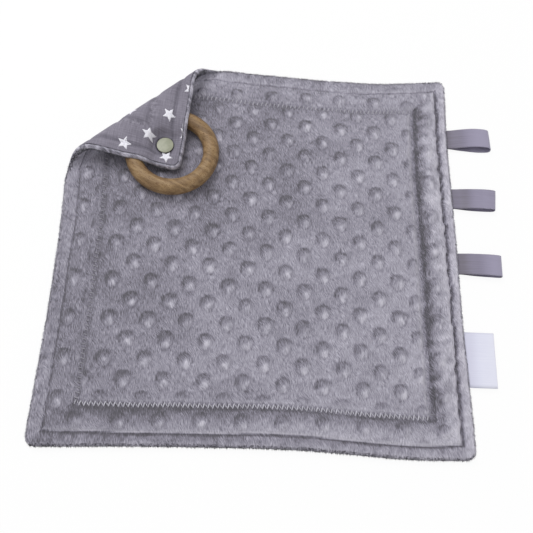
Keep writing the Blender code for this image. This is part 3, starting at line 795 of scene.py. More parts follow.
# %% [markdown]
# ## Painted light and shade on plush
#
# Plush looks pale where its pile leans away from you and dark where it leans at you, and a lamp
# lights one side of each bump. That light and shade is painted into the colour here. We store a
# value on the cloth, taken from the slope of the surface along one direction, so slopes that face
# down and to the right are painted light and those that face up and left painted shade. Seams get
# painted shade, dots painted shade and highlight, the rim and the fold's shoulder painted light,
# and there is random tone as well. The material turns the value into a colour, and it stays with
# the cloth in every pose.

# %% Numbers for the painted light and shade
NAP_DIRECTION = Vector((0.3, -0.954))
SLOPE_LIGHT_DIRECTION = Vector((0.6, -0.8))
NAP_STEP = 0.6 * MM
SLOPE_LIGHT_CONTRAST = 0.42
NAP_MIDDLE = 0.46
NAP_RANGE = (0.02, 0.98)
NAP_ACROSS = 0.5
NAP_DOWN = 0.866
STREAK_STRETCH = 0.35
DOT_PAINTED_SHADE = 0.16
DOT_SHADE_CRESCENT = 0.18
DOT_PAINTED_HIGHLIGHT = 0.34
DOT_RIM_SHADOW = 0.09
DOT_STREAKS = 0.85
FIELD_STREAKS = 0.05
SHOULDER_LIGHT = 0.2
SHOULDER_MIDDLE = 11 * MM
SHOULDER_WIDTH = 13 * MM
SHOULDER_REACH = 44 * MM
SHOULDER_FADE = 26 * MM
EDGE_LIGHT = (0.1, 0.05, 0.2, 0.0)
FLAP_EDGE_LIGHT = 0.25
FLAP_EDGE_MOTTLE = 0.42
RIM_MOTTLE = 0.1
RIM_FADE = 3.5 * MM
EDGE_BAND = 4.5 * MM
EDGE_FADE = 3 * MM
FLAP_FADE = 4 * MM
FIELD_DARK = 0.085
FIELD_MIDDLE = 55 * MM
FIELD_RADIUS = 75 * MM
RIDGE_MOTTLE = 0.2
RIDGE_COVER = 0.4
GROOVE_WIDTH = (1.1, 0.9, 1.1, 0.6)
GROOVE_PAINTED_SHADE = 0.4
VALLEY_PAINTED_SHADE = 0.22
VALLEY_SHIFT = 3.5 * MM
VALLEY_WIDTH = 3.6 * MM
VALLEY_SIDES = (1.0, 1.0, 0.35, 1.0)
RIDGE_SIDES = (1.0, 0.0, 0.0, 0.0)
CHANNEL_PAINTED_SHADE = (0.0, 0.0, 0.04, 0.2)
CHANNEL_LIGHT = (0.09, 0.06, 0.0, 0.06)
CHANNEL_FADE = 3 * MM
BORDER_TONE = (0.15, -0.02, 0.02, -0.05)
ZIGZAG_PAINTED_SHADE = (0.0, 0.1, 0.12, 0.26)
ZIGZAG_SHADE_WIDTH = 1.8 * MM
CLOUDS = 0.08
SPECKS = 0.04
LIGHT_ACROSS = 0.13
LIGHT_UP = -0.03

# %% Painted light and shade of a dot
def by_nap(x, y):
    """How far places lie along the slant down and to the right, and beside it."""
    return NAP_ACROSS * x - NAP_DOWN * y, NAP_DOWN * x + NAP_ACROSS * y


def combed_hills(x, y):
    """Random streaks that lie along the slant down and to the right."""
    along_nap, beside_nap = by_nap(x, y)
    return hills(beside_nap, along_nap * STREAK_STRETCH, *HILLS["streaks"])


def dot_painted_light_and_shade(x, y):
    """Painted shade on a dot's upper left, a painted highlight lower right, painted shadow at its
    rim.
    """
    across, upward = dot_spots(x, y)
    reach = np.hypot(across, upward)
    along_nap, beside_nap = by_nap(across, upward)
    inside = smooth((1.08 - reach) / 0.2)
    dark = smooth((0.3 - along_nap) / 0.7) * inside
    crescent = smooth((0.25 - along_nap) / 0.9) * bell(reach - 0.84, 0.26)
    lit = smooth((along_nap + 0.15) / 0.55) * smooth((1.04 - reach) / 0.3)
    streak = lit * bell(beside_nap - 0.1, 0.46) * (1 + DOT_STREAKS * combed_hills(x, y))
    rim = bell(reach - 1.04, 0.13) * smooth((along_nap + 0.6) / 0.6)
    shade = DOT_PAINTED_SHADE * dark + DOT_SHADE_CRESCENT * crescent + DOT_RIM_SHADOW * rim
    near_ring = bell(np.hypot(x + 75 * MM, y - 90 * MM), 60 * MM)
    return (DOT_PAINTED_HIGHLIGHT * streak - shade * (1 - 0.45 * near_ring)) * held_by_seams(x, y)


# %% Painted light and shade of the plush
def tone_with_painted_light(x, y):
    def side(sides):
        return by_side(x, y, sides)

    # Painted light on slopes facing down and right, painted shade on those facing up and left.
    step = SLOPE_LIGHT_DIRECTION * NAP_STEP
    slope = (plush_relief(x + step.x, y + step.y) - plush_relief(x, y)) / NAP_STEP
    inset, crease, zigzag = seam_places(x, y)
    offset = offset_of(x, y)
    in_border = smooth((crease - inset) / BORDER_STEP + 0.5)
    in_channel = (1 - in_border) * smooth((zigzag - inset) / CHANNEL_FADE)
    on_ridge = in_channel * side(RIDGE_SIDES)
    outward = np.clip((zigzag - inset) / (zigzag - crease), 0, 1)
    at_edge = smooth((EDGE_BAND - inset) / EDGE_FADE)
    on_flap = at_edge * smooth(-offset / FLAP_FADE)
    # Painted shade in the crease and in the zigzag's valley.
    groove = side(CREASE_SIDES) * bell(inset - crease, side(GROOVE_WIDTH) * MM)
    drawn = side(ZIGZAG_SIDES) * side(VALLEY_SIDES)
    valley = drawn * bell(inset - zigzag + VALLEY_SHIFT, VALLEY_WIDTH)
    # The fold's shoulder gets painted light where the flap's shadow falls.
    shoulder = smooth((SHOULDER_REACH - inset) / SHOULDER_FADE)
    shoulder = shoulder * bell(offset - SHOULDER_MIDDLE, SHOULDER_WIDTH)
    # Across the channel, painted shade by the zigzag turns to painted light by the crease.
    channel = side(CHANNEL_LIGHT) * outward - side(CHANNEL_PAINTED_SHADE) * (1 - outward)
    # Slope, seams, dots, channel, shoulder and rim are painted light and shade; the rest is tone.
    value = (
        NAP_MIDDLE - SLOPE_LIGHT_CONTRAST * slope * smooth(inset / RIM_FADE)
        - GROOVE_PAINTED_SHADE * groove - VALLEY_PAINTED_SHADE * valley
        + dot_painted_light_and_shade(x, y) * (1 - RIDGE_COVER * on_ridge) + channel * in_channel
        + FIELD_STREAKS * combed_hills(x, y)
        + RIDGE_MOTTLE * on_ridge * hills(x, y, *HILLS["ridge"])
        - FIELD_DARK * bell(np.hypot(x, y - FIELD_MIDDLE), FIELD_RADIUS)
        + side(BORDER_TONE) * in_border
        + RIM_MOTTLE * in_border * hills(x, y, *HILLS["rim"])
        - side(ZIGZAG_PAINTED_SHADE) * bell(inset - zigzag, ZIGZAG_SHADE_WIDTH)
        + CLOUDS * hills(x, y, *HILLS["clouds"])
        + SPECKS * hills(x, y, *HILLS["specks"])
        + LIGHT_ACROSS * x / half_side + LIGHT_UP * y / half_side
        + SHOULDER_LIGHT * shoulder
        + at_edge * np.where(offset < 0, FLAP_EDGE_LIGHT, side(EDGE_LIGHT))
        + FLAP_EDGE_MOTTLE * on_flap * hills(x, y, *HILLS["folded rim"])
    )
    return np.clip(value, *NAP_RANGE)


# %% Painted shade and tone of the cotton
COTTON_MIDDLE = 0.58
COTTON_RANGE = (-0.9, 1.0)
COTTON_CLOUDS = 0.18
SEAM_SHADE = 0.5
SEAM_WIDTH = 1.2 * MM
CRUMPLE_SHADE = 0.8
CRUMPLE_PAINTED_SHADE = 0.05
CRUMPLE_WIDTH = 2.2 * MM
STITCH_SHADE = 0.4
STITCH_SHADE_SHIFT = 2.6 * MM
STITCH_SHADE_WIDTH = 1.1 * MM
CAP_SHADE = 1.4
CAP_SHADE_SHIFT = 0.2 * MM
CAP_SHADE_WIDTH = 0.9 * MM


def cotton_shade_and_tone(x, y):
    """Painted shade along the seams and round the cap, painted crumple shading by the zigzag,
    tone.
    """
    inset, crease, zigzag = seam_places(x, y)
    near_zigzag = bell(inset - zigzag, CRUMPLE_WIDTH, 4)
    from_cap = np.hypot(x - snap_unfolded.x, y - snap_unfolded.y) - cap_radius
    value = (
        COTTON_MIDDLE - SEAM_SHADE * bell(inset - crease, SEAM_WIDTH)
        + near_zigzag * (CRUMPLE_SHADE * hills(x, y, *HILLS["crumple"]) - CRUMPLE_PAINTED_SHADE)
        - STITCH_SHADE * bell(inset - zigzag - STITCH_SHADE_SHIFT, STITCH_SHADE_WIDTH)
        + COTTON_CLOUDS * hills(x, y, *HILLS["cotton clouds"])
        - CAP_SHADE * bell(from_cap - CAP_SHADE_SHIFT, CAP_SHADE_WIDTH)
    )
    return np.clip(value, *COTTON_RANGE)


# %% [markdown]
# ## The two layers of the blanket
#
# The imported model's cloth is stiff, so it is split where the corner folds. Our stretches split
# at the same places.

# %% Build the plush and the cotton
BACK_RIM = 5.5 * MM
BODIES = {
    "blanket": ("blanket",),
    "lower_roll": ("blanket", "fold_strip"),
    "upper_roll": ("fold_strip", "corner_flap"),
    "flap": ("corner_flap",),
}
NODES = {
    "plush": dict(zip(BODIES, ("plush_front", "plush_fold", "plush_fold", "flap_plush"))),
    "cotton": dict(zip(BODIES, ("cotton_back", "cotton_fold", "cotton_fold", "flap_cotton"))),
}


def follow(piece, stretch):
    """Joins a piece to its body. A piece of the roll only has its place put into its mesh."""
    bodies = BODIES[stretch]
    if len(bodies) == 1:
        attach(piece, bodies[0])
        return
    if stretch == "lower_roll":
        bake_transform(piece)
    else:
        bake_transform(piece)


def make_layer(cloth):
    for stretch in STRETCHES:
        cells = cloth.cells_of(stretch)
        back_cells = cells
        if stretch == "blanket":
            near_cut = cloth.cell_offset < ROLL_INSET + BACK_RIM
            rim = cloth.edge + BACK_RIM
            back_cells = cells & ((cloth.cell_inset < rim) | near_cut)
        plan = np.stack([cloth.x, cloth.y], axis=-1)
        piece = shell(
            f"{cloth.label}_{stretch}", cloth.face, cloth.back, cells, back_cells,
            plan, cloth.outward > 0, cloth.shade,
        )
        if stretch == "blanket":
            close_back(piece, cloth.outward > 0)
        follow(piece, stretch)
        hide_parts(NODES[cloth.label][stretch])
        cloth.layer[stretch] = piece
        print(piece.name, len(piece.data.polygons), "faces")


plush_radius = roll_height - CLOTH_THICKNESS
plush = Cloth("plush", 1, 0.0, plush_face, plush_back, tone_with_painted_light, plush_radius)
cotton = Cloth("cotton", -1, COTTON_INSET, cotton_face, cotton_back, cotton_shade_and_tone, roll_height)
make_layer(plush)
make_layer(cotton)

# %% [markdown]
# ## The pile
#
# Real pile is hundreds of fibres in each square millimetre, and the material draws most of it.
# Only the rim shows it from the side. There we stand for it with nearly ten thousand short
# pointed tufts that lean the way the cloth was brushed. Each has four faces and takes its
# shading from the cloth below, which keeps the surface soft.

# %% Places for tufts
TUFT_BASE = 0.17 * MM
TUFT_LENGTH = 1.5 * MM
TUFT_LEAN = math.radians(30)
TUFT_SINK = 0.15 * MM
TUFT_TURNS = 0.38
TUFT_LEANS = 0.09
TUFT_TONES = 0.05
RIM_PAINTED_LIGHT = (0.16, 0.1, 0.2, 0.12)


def cell_areas(grid, cells):
    step_x = grid[1:, :-1] - grid[:-1, :-1]
    step_y = grid[:-1, 1:] - grid[:-1, :-1]
    return np.linalg.norm(np.cross(step_x, step_y), axis=-1) * cells


def sample_grid(grid, column, row, share_x, share_y):
    """Values of a grid at places inside its cells."""
    if grid.ndim == 3:
        share_x = share_x[:, None]
        share_y = share_y[:, None]
    low = mix(grid[column, row], grid[column + 1, row], share_x)
    high = mix(grid[column, row + 1], grid[column + 1, row + 1], share_x)
    return mix(low, high, share_y)


# %% Make tufts
def make_tufts(name, cells, count, seed):
    random = np.random.default_rng(seed)
    areas = cell_areas(plush.face, cells).ravel()
    chosen = random.choice(len(areas), count, p=areas / areas.sum())
    column, row = np.unravel_index(chosen, cells.shape)
    share_x = random.random(count)
    share_y = random.random(count)
    place = (column, row, share_x, share_y)
    root = sample_grid(plush.face, *place)
    normal = unit(sample_grid(plush.normals, *place))
    flat_x = sample_grid(plush.x, *place)
    flat_y = sample_grid(plush.y, *place)
    value = sample_grid(plush.shade, *place)
    grid = plush.face
    step_x = unit(grid[column + 1, row] - grid[column, row])
    step_y = unit(grid[column, row + 1] - grid[column, row])
    swirl = 0.5 * hills(flat_x, flat_y, *HILLS["swirl"]) + random.normal(0, TUFT_TURNS, count)
    turn_x = NAP_DIRECTION.x * np.cos(swirl) - NAP_DIRECTION.y * np.sin(swirl)
    turn_y = NAP_DIRECTION.y * np.cos(swirl) + NAP_DIRECTION.x * np.sin(swirl)
    lie = unit(step_x * turn_x[:, None] + step_y * turn_y[:, None])
    across = unit(np.cross(lie, normal))
    lean = (TUFT_LEAN + random.normal(0, TUFT_LEANS, count))[:, None]
    length = (TUFT_LENGTH * random.uniform(0.7, 1.25, count))[:, None]
    base = (TUFT_BASE * random.uniform(0.75, 1.25, count))[:, None]
    low = root - normal * TUFT_SINK
    tip = root + length * (np.cos(lean) * lie + np.sin(lean) * normal)
    points = np.stack([
        low + across * base, low - across * base, low + lie * base * 1.2, tip,
    ], axis=1).reshape(-1, 3)
    corner = np.arange(count)[:, None] * 4
    faces = np.concatenate([
        corner + np.array([pattern]) for pattern in ((0, 2, 1), (0, 1, 3), (1, 2, 3), (2, 0, 3))
    ])
    shading = np.stack([normal, normal, normal, unit(normal + lie * 0.35)], axis=1)
    item = new_mesh_object(name, points, [faces], shading.reshape(-1, 3))
    loops = loop_points(item)
    tuft = loops // 4
    add_uv(item, "cloth", np.stack([flat_x, flat_y], axis=-1)[tuft])
    side = math.ceil(math.sqrt(count))
    spot = np.array([[0.1, 0.1], [0.9, 0.1], [0.5, 0.5], [0.5, 0.9]])[loops % 4]
    bake = (np.stack([tuft % side, tuft // side], axis=-1) + spot) / side
    add_uv(item, "OFBake", bake)
    # Rim tufts get painted light by side, painted shade at their roots and painted light at tips.
    tint = value + by_side(flat_x, flat_y, RIM_PAINTED_LIGHT) + random.normal(0, TUFT_TONES, count)
    tones = np.stack([tint - 0.05, tint - 0.05, tint - 0.03, tint + 0.07], axis=1)
    add_value(item, "tone_with_painted_light", np.clip(tones, *NAP_RANGE).ravel())
    return item


# %% Scatter tufts along the rim
EDGE_PILE = 2.6 * MM
TUFT_COUNTS = {"blanket": 7000, "lower_roll": 500, "upper_roll": 600, "flap": 1600}
TUFT_SEED = 50
tufts = {}
for stretch, count in TUFT_COUNTS.items():
    near_edge = plush.cells_of(stretch) & (plush.cell_inset < EDGE_PILE)
    tufts[stretch] = make_tufts(f"pile_{stretch}", near_edge, count, TUFT_SEED)
    follow(tufts[stretch], stretch)
print("tufts", sum(TUFT_COUNTS.values()))

# %% [markdown]
# ## The zigzag seam
#
# A zigzag seam holds the two cloths together 29 mm in from the edge. Each stroke is a short
# thread that dives into the cloth at both ends, and every second one is drawn deeper. We lay
# a small tube along each stroke, by the same formula that laid the cloth, so it follows the
# valley and the fold.

# %% Places for stitches
STITCH_STEPS = (1.2 * MM, 2.1 * MM)
STITCH_SWING = 1.9 * MM
THREAD_RADII = {"plush": 0.52 * MM, "cotton": 0.16 * MM}
STITCH_SHARES = np.array([0.0, 0.2, 0.5, 0.8, 1.0])
STITCH_LIFTS = {
    "plush": np.array([-0.5, 0.35, 0.6, 0.35, -0.5]) * MM,
    "cotton": np.array([-0.25, -0.08, -0.05, -0.08, -0.25]) * MM,
}
SUNK_BY_SIDE = (1.0, 0.3, 0.3, 0.0)
THREAD_SHADE_BY_SIDE = (0.0, 0.5, 0.26, 0.66)
RETURN_SUNK = 0.8 * MM
COTTON_THREAD_TONE = 0.6
THREAD_SEED = 91
THREAD_SIDES = 4


def zigzag_strokes():
    """Start and end of each stroke on the flat blanket, going round it."""
    strokes = []
    reach = half_side - ZIGZAG_INSET
    pair = sum(STITCH_STEPS)
    count = 2 * round(2 * reach / pair)
    steps = np.cumsum([0, *(STITCH_STEPS * (count // 2))])
    steps = reach * (2 * steps / steps[-1] - 1)
    swing = np.where(np.arange(count + 1) % 2 == 0, -1, 1) * STITCH_SWING
    for quarter in range(4):
        turned = np.pi / 2 * quarter
        side_x = steps * np.cos(turned) + reach * np.sin(turned)
        side_y = steps * np.sin(turned) - reach * np.cos(turned)
        move = swing + seam_places(side_x, side_y)[2] - ZIGZAG_INSET
        place_x = side_x - move * np.sin(turned)
        place_y = side_y + move * np.cos(turned)
        places = np.stack([place_x, place_y], axis=-1)
        strokes.append(np.stack([places[:-1], places[1:]], axis=1))
    return np.concatenate(strokes)


# %% Make stitches
def make_stitches(name, strokes, cloth):
    """Tubes along strokes. Every second one is deeper."""
    on_plush = cloth is plush
    radius = THREAD_RADII[cloth.label]
    start = strokes[:, :1]
    flat = start + (strokes[:, 1:] - start) * STITCH_SHARES[None, :, None]
    x = flat[..., 0]
    y = flat[..., 1]
    sunk = by_side(x, y, SUNK_BY_SIDE) * MM + RETURN_SUNK * (np.arange(len(x)) % 2)[:, None]
    lifts = STITCH_LIFTS[cloth.label] - (sunk if on_plush else 0)
    height = np.maximum(cloth.height(x, y) + cloth.outward * lifts, radius)
    draw = draw_in(x, y)
    middle = lay(x, y, height, draw)
    above = unit(lay(x, y, height + cloth.outward * 0.2 * MM, draw) - middle + 1e-9)
    forward = unit(np.gradient(middle, axis=1))
    across = unit(np.cross(forward, above))
    above = np.cross(across, forward)
    angles = 2 * np.pi * np.arange(THREAD_SIDES) / THREAD_SIDES
    points = np.stack([
        middle + radius * (np.cos(angle) * across + np.sin(angle) * above) for angle in angles
    ], axis=2)
    count, steps = points.shape[:2]
    index = np.arange(count * steps * THREAD_SIDES).reshape(count, steps, THREAD_SIDES)
    near = index[:, :-1]
    far = index[:, 1:]
    quads = np.stack([
        near, far, np.roll(far, -1, 2), np.roll(near, -1, 2),
    ], axis=-1).reshape(-1, 4)
    caps = np.concatenate([index[:, 0], index[:, -1, ::-1]])
    item = new_mesh_object(name, points.reshape(-1, 3), [quads, caps])
    face_outward(item)
    # Plush threads get painted shade by side, deepest on the right, where they sink into the pile.
    tones = by_side(x, y, THREAD_SHADE_BY_SIDE) if on_plush else np.full_like(x, COTTON_THREAD_TONE)
    tones = tones * np.random.default_rng(THREAD_SEED).uniform(0.7, 1, (len(x), 1))
    add_value(item, "tone_with_painted_light", np.repeat(tones.ravel(), THREAD_SIDES))
    return item


# %% Sew both cloths
all_strokes = zigzag_strokes()
stroke_middle = all_strokes.mean(axis=1)
stroke_offset = offset_of(stroke_middle[:, 0], stroke_middle[:, 1])
for stretch, (low, high) in STRETCHES.items():
    own = all_strokes[(stroke_offset > low) & (stroke_offset <= high)]
    for cloth in (plush, cotton):
        piece = make_stitches(f"zigzag_{cloth.label}_{stretch}", own, cloth)
        follow(piece, stretch)
        cloth.threads[stretch] = piece
print("zigzag strokes", len(all_strokes))

# %% [markdown]
# ## The printed stars
#
# The cotton is printed with small white stars. A print has crisp edges, so each star is a very
# thin body of its own, laid on the cloth by the same formula. They stand in loose rows, each
# shifted and turned a little. A star that an edge cuts is pressed flat against that edge.

# %% Places for stars
STAR_RADIUS = 5.4 * MM
STAR_WAIST = 0.46
STAR_RISE = 0.12 * MM
STAR_SPACING = 22.5 * MM
STAR_SHIFT = 3.2 * MM
STAR_TURN = math.radians(-127)
STAR_SHARES = (1.0, 0.66, 0.33)
STAR_POINTS = 20
STAR_ROW_SHARE = 0.87
STAR_CLEARANCE = 0.72 * STAR_SPACING
STAR_TURNS = 0.12
STAR_SIZES = (0.94, 1.05)
STAR_ROWS = np.arange(-7, 8)
STAR_SEED = 61
KNOWN_STARS = (
    (-70.9, 90.6), (-85.5, 74.2), (-102.5, 64.0), (-72.4, 59.6), (-55.4, 112.2),
    (-101.3, 93.2), (-58.0, 77.7),
)


def star_outline(turned):
    """Points round a star: five tips, five waists and the points half way between them."""
    corner = np.arange(STAR_POINTS // 2 + 1)
    angle = turned + corner * math.pi / 5
    reach = np.where(corner % 2 == 0, 1.0, STAR_WAIST)
    ends = np.stack([np.cos(angle) * reach, np.sin(angle) * reach], axis=1)
    halves = (ends[:-1] + ends[1:]) / 2
    return np.stack([ends[:-1], halves], axis=1).reshape(-1, 2)


def star_places():
    """Unfolded places of the stars: those the folded corner shows, and the rest of the rows."""
    random = np.random.default_rng(STAR_SEED)
    places = [mirrored(Vector((x * MM, y * MM, 0))).to_2d() for x, y in KNOWN_STARS]
    for row in STAR_ROWS:
        for column in STAR_ROWS:
            x = (column + 0.5 * (row % 2)) * STAR_SPACING
            y = row * STAR_SPACING * STAR_ROW_SHARE
            x = x + random.uniform(-1, 1) * STAR_SHIFT
            y = y + random.uniform(-1, 1) * STAR_SHIFT
            spot = Vector((x, y))
            clear = all((spot - other).length > STAR_CLEARANCE for other in places)
            inside = float(inset_of(np.array(x), np.array(y))) > COTTON_INSET + STAR_RADIUS
            if clear and inside and offset_of(x, y) > 0:
                places.append(spot)
    return places


# %% Make stars
def make_stars(name, places):
    random = np.random.default_rng(len(places))
    points = []
    for place in places:
        outline = star_outline(STAR_TURN + random.normal(0, STAR_TURNS))
        outline = outline * STAR_RADIUS * random.uniform(*STAR_SIZES)
        for rise in (-STAR_RISE, STAR_RISE):
            rings = [place_ring(place, outline * share, rise) for share in STAR_SHARES]
            points.extend([*rings, place_ring(place, outline[:1] * 0, rise)])
    points = np.concatenate(points)
    first = np.arange(0, len(points), len(points) // len(places))[:, None, None]
    faces = [(first + np.array(group)).reshape(-1, len(group[0])) for group in star_faces()]
    item = new_mesh_object(name, points, faces)
    face_outward(item)
    return item


def star_faces():
    """Quads and triangles of one star: two layers of rings with a middle, and a wall."""
    layer = len(STAR_SHARES) * STAR_POINTS + 1
    inner = layer - STAR_POINTS - 1
    quads = []
    ends = []
    for step in range(STAR_POINTS):
        after = (step + 1) % STAR_POINTS
        for outer in range(0, inner, STAR_POINTS):
            within = outer + STAR_POINTS
            quad = [outer + step, outer + after, within + after, within + step]
            quads.extend([quad, [corner + layer for corner in reversed(quad)]])
        end = [inner + step, inner + after, layer - 1]
        ends.extend([end, [corner + layer for corner in reversed(end)]])
        quads.append([after, step, layer + step, layer + after])
    return quads, ends


def place_ring(place, outline, rise):
    x = place.x + outline[:, 0]
    y = place.y + outline[:, 1]
    inset = inset_of(x, y)
    fits = np.clip((COTTON_INSET + FIT_GAP - inset) / half_side, 0, None)
    x = x * (1 - fits)
    y = y * (1 - fits)
    return lay(x, y, cotton_face(x, y) + rise, draw_in(x, y))


# %% Print the stars
stars = {}
every_star = star_places()
for stretch, (low, high) in STRETCHES.items():
    own = [place for place in every_star if low < offset_of(place.x, place.y) <= high]
    stars[stretch] = make_stars(f"stars_{stretch}", own)
    follow(stars[stretch], stretch)
print("stars", len(every_star))

# %% The unfolded size and flat area of each stretch
for stretch in STRETCHES:
    for cloth, on_cloth in ((plush, tufts), (cotton, stars)):
        cells = cloth.cells_of(stretch)
        size = cloth.unfolded(cells)
        if stretch == "blanket":
            size = (2 * half_side, 2 * half_side)
        cloth.flat_area(cells)

# %% [markdown]
# ## Modelling with operators
#
# The ring and the snap are turned parts, so they are made as by hand: add a primitive, enter
# edit mode, and extrude, inset or spin. An operator works on all that is selected, so each
# piece starts with nothing selected.

# %% Helpers for operators
def start_clean():
    if bpy.context.object and bpy.context.object.mode != "OBJECT":
        bpy.ops.object.mode_set(mode="OBJECT")
    bpy.ops.object.select_all(action="DESELECT")


def finish_piece(name, angle):
    """Puts the piece's place into its mesh, joins doubled points and smooths round faces."""
    item = bpy.context.object
    item.name = name
    item.data.name = name
    bpy.ops.object.mode_set(mode="EDIT")
    bpy.ops.mesh.select_all(action="SELECT")
    bpy.ops.mesh.remove_doubles(threshold=0.001 * MM)
    bpy.ops.mesh.normals_make_consistent(inside=False)
    bpy.ops.object.mode_set(mode="OBJECT")
    bpy.ops.object.transform_apply(location=True, rotation=True, scale=True)
    bpy.ops.object.shade_smooth_by_angle(angle=angle)
    print(name, len(item.data.polygons), "faces")
    return item


# %% [markdown]
# ## The teething ring
#
# The ring is turned from one piece of beech and sanded round. Its section is a circle, so we
# spin a circle about the ring's upright axis.

# %% Spin the ring
RING_STEPS = 144
SECTION_STEPS = 40

start_clean()
bpy.ops.mesh.primitive_circle_add(
    vertices=SECTION_STEPS, radius=section_radius,
    location=ring_centre + Vector((ring_radius, 0, 0)), rotation=(math.pi / 2, 0, 0),
)
bpy.ops.object.mode_set(mode="EDIT")
bpy.ops.mesh.select_all(action="SELECT")
bpy.ops.mesh.spin(steps=RING_STEPS, angle=2 * math.pi, center=ring_centre, axis=(0, 0, 1))
ring = finish_piece("beech_ring", math.radians(60))
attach(ring, "ring")
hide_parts("teething_ring")

# %% [markdown]
# ## The snap's cap
#
# A plastic snap's cap is a shallow moulded dome with a rolled edge. In its middle is the
# flattened end of the post that holds it. A cylinder gives the rim, and insets pushed up or
# down give the dome, the ring round the post and the post itself.

# %% Shape the cap
CAP_STEPS = 96
POST_RADIUS = 0.9 * MM
DOME_STEPS = ((0.10, 0.12), (0.16, 0.16), (0.30, 0.10), (0.07, -0.12), (0.07, 0.02), (0.07, 0.10))


def pick_end(direction):
    """Selects only the round end face that looks up, for 1, or down, for -1."""
    mesh = bpy.context.object.data
    faces = bmesh.from_edit_mesh(mesh).faces
    for face in faces:
        face.select_set(face.normal.z * direction > 0.99 and len(face.verts) > 8)
    bmesh.update_edit_mesh(mesh)


dome_rise = 0.45 * CAP_THICKNESS
cap_foot = cap_high.z - CAP_THICKNESS
start_clean()
bpy.ops.mesh.primitive_cylinder_add(
    vertices=CAP_STEPS, radius=cap_radius, depth=CAP_THICKNESS - dome_rise,
    location=(snap_centre.x, snap_centre.y, cap_high.z - (CAP_THICKNESS + dome_rise) / 2),
)
bpy.ops.object.mode_set(mode="EDIT")
for share, rise in DOME_STEPS:
    pick_end(1)
    bpy.ops.mesh.inset(thickness=cap_radius * share, depth=0)
    bpy.ops.transform.translate(value=(0, 0, rise * CAP_THICKNESS))
pick_end(-1)
bpy.ops.mesh.inset(thickness=cap_radius - POST_RADIUS, depth=0)
bpy.ops.mesh.extrude_region_move(TRANSFORM_OT_translate={"value": (0, 0, cap_low.z - cap_foot)})
cap = finish_piece("snap_cap_dome", math.radians(50))
bevel = cap.modifiers.new("soft edge", "BEVEL")
bevel.width = 0.18 * MM
bevel.segments = 3
bevel.limit_method = "ANGLE"
bpy.ops.object.modifier_apply(modifier=bevel.name)
bpy.ops.object.shade_smooth_by_angle(angle=math.radians(40))
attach(cap, "corner_flap")
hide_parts("snap_cap")

# %% [markdown]
# ## Ribbons and label
#
# Three ribbons and a label are folded in half and sewn into the right edge. A ribbon is one
# band, so it is a thin sheet along a curve that leaves the seam low, turns at the far end and
# comes back higher. Small differences between the loops keep them from looking copied.

# %% The band's curve
TAG_START = 146.3 * MM
TAG_STRETCH = 1.07
BAND_THICKNESS = 0.45 * MM
BAND_POINTS = 17
WAVE_LENGTH = 9 * MM
CURVE_STEPS = 4


def rounded_curve(places):
    """Cuts the corners of a line of points several times, which makes it a smooth curve."""
    curve = np.array(places, float)
    for _ in range(CURVE_STEPS):
        near = mix(curve[:-1], curve[1:], 0.25)
        far = mix(curve[:-1], curve[1:], 0.75)
        middle = np.stack([near, far], axis=1).reshape(-1, curve.shape[1])
        curve = np.concatenate([curve[:1], middle[1:-1], curve[-1:]])
    return curve


def make_band(name, body, route, shifts, width, skew, wave, seed):
    """A band along a route of (out, height) steps in millimetres, each with its own shift."""
    hinge = Vector(joints[f"{body}_flip"]["pos_m"])
    curve = rounded_curve([(*step, shift) for step, shift in zip(route, shifts)]) * MM
    out, height, shift = curve.T[:, :, None]
    steps = np.linspace(-0.5, 0.5, BAND_POINTS)
    travelled = np.concatenate([[0], np.cumsum(np.hypot(*np.diff(curve[:, :2], axis=0).T))])
    run = travelled[:, None]
    far = np.clip(out / out.max(), 0, 1)
    x = TAG_START + out * TAG_STRETCH + skew * steps * far * width
    y = hinge.y + steps * width + shift
    ripple = hills(run + 0 * steps, steps * width, WAVE_LENGTH, seed)
    z = height + wave * MM * ripple * smooth(out / (6 * MM))
    middle = np.stack(np.broadcast_arrays(x, y, z), axis=-1)
    half = vertex_normals(middle) * BAND_THICKNESS / 2
    cells = np.ones((middle.shape[0] - 1, middle.shape[1] - 1), bool)
    plan = np.stack(np.broadcast_arrays(run, steps * width), axis=-1)
    # Painted shade near the seam, where the layers meet, turning lighter to the far end, with
    # tone.
    tone = 0.15 + 0.6 * smooth(far * 1.1) + 0.12 * hills(run, 0 * steps, 6 * MM, seed)
    shade = np.broadcast_to(tone, middle.shape[:2])
    item = shell(name, middle + half, middle - half, cells, cells, plan, True, shade)
    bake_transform(item)
    return item, float(travelled[-1])


# %% Make the three ribbons and the label
RIBBON_WIDTH = 16 * MM
LABEL_WIDTH = 39 * MM
LOOP_ROUTE = (
    (-4, 3.1), (0, 2.9), (4, 2.6), (10, 1.6), (20, 0.75), (28.5, 0.6), (31.3, 1.2), (31.4, 3.0),
    (31.0, 4.6), (28.0, 5.8), (20, 6.0), (10, 5.0), (4, 3.9), (0, 3.5), (-4, 3.3),
)
UPPER_SHIFTS = (2.0, 2.0, 1.9, 1.6, 1.4, 1.8, 2.3, 2.8, 3.2, 3.7, 3.8, 2.9, 2.3, 2.1, 2.1)
MIDDLE_SHIFTS = (2.0, 2.0, 2.0, 1.9, 1.9, 2.0, 2.1, 2.1, 2.1, 2.0, 2.1, 2.1, 2.1, 2.1, 2.1)
LOWER_SHIFTS = (1.0, 1.0, 1.0, 0.8, 0.6, 0.4, 0.3, 0.3, 0.3, 0.4, 0.6, 0.9, 1.0, 1.0, 1.0)
LABEL_ROUTE = (
    (-4, 3.1), (0, 2.9), (6, 2.75), (14, 2.65), (19, 2.6), (20.9, 2.75), (20.9, 3.45),
    (19, 3.6), (14, 3.65), (6, 3.6), (0, 3.5), (-4, 3.3),
)
LABEL_SHIFTS = (0,) * len(LABEL_ROUTE)
LOOP = (LOOP_ROUTE, RIBBON_WIDTH)
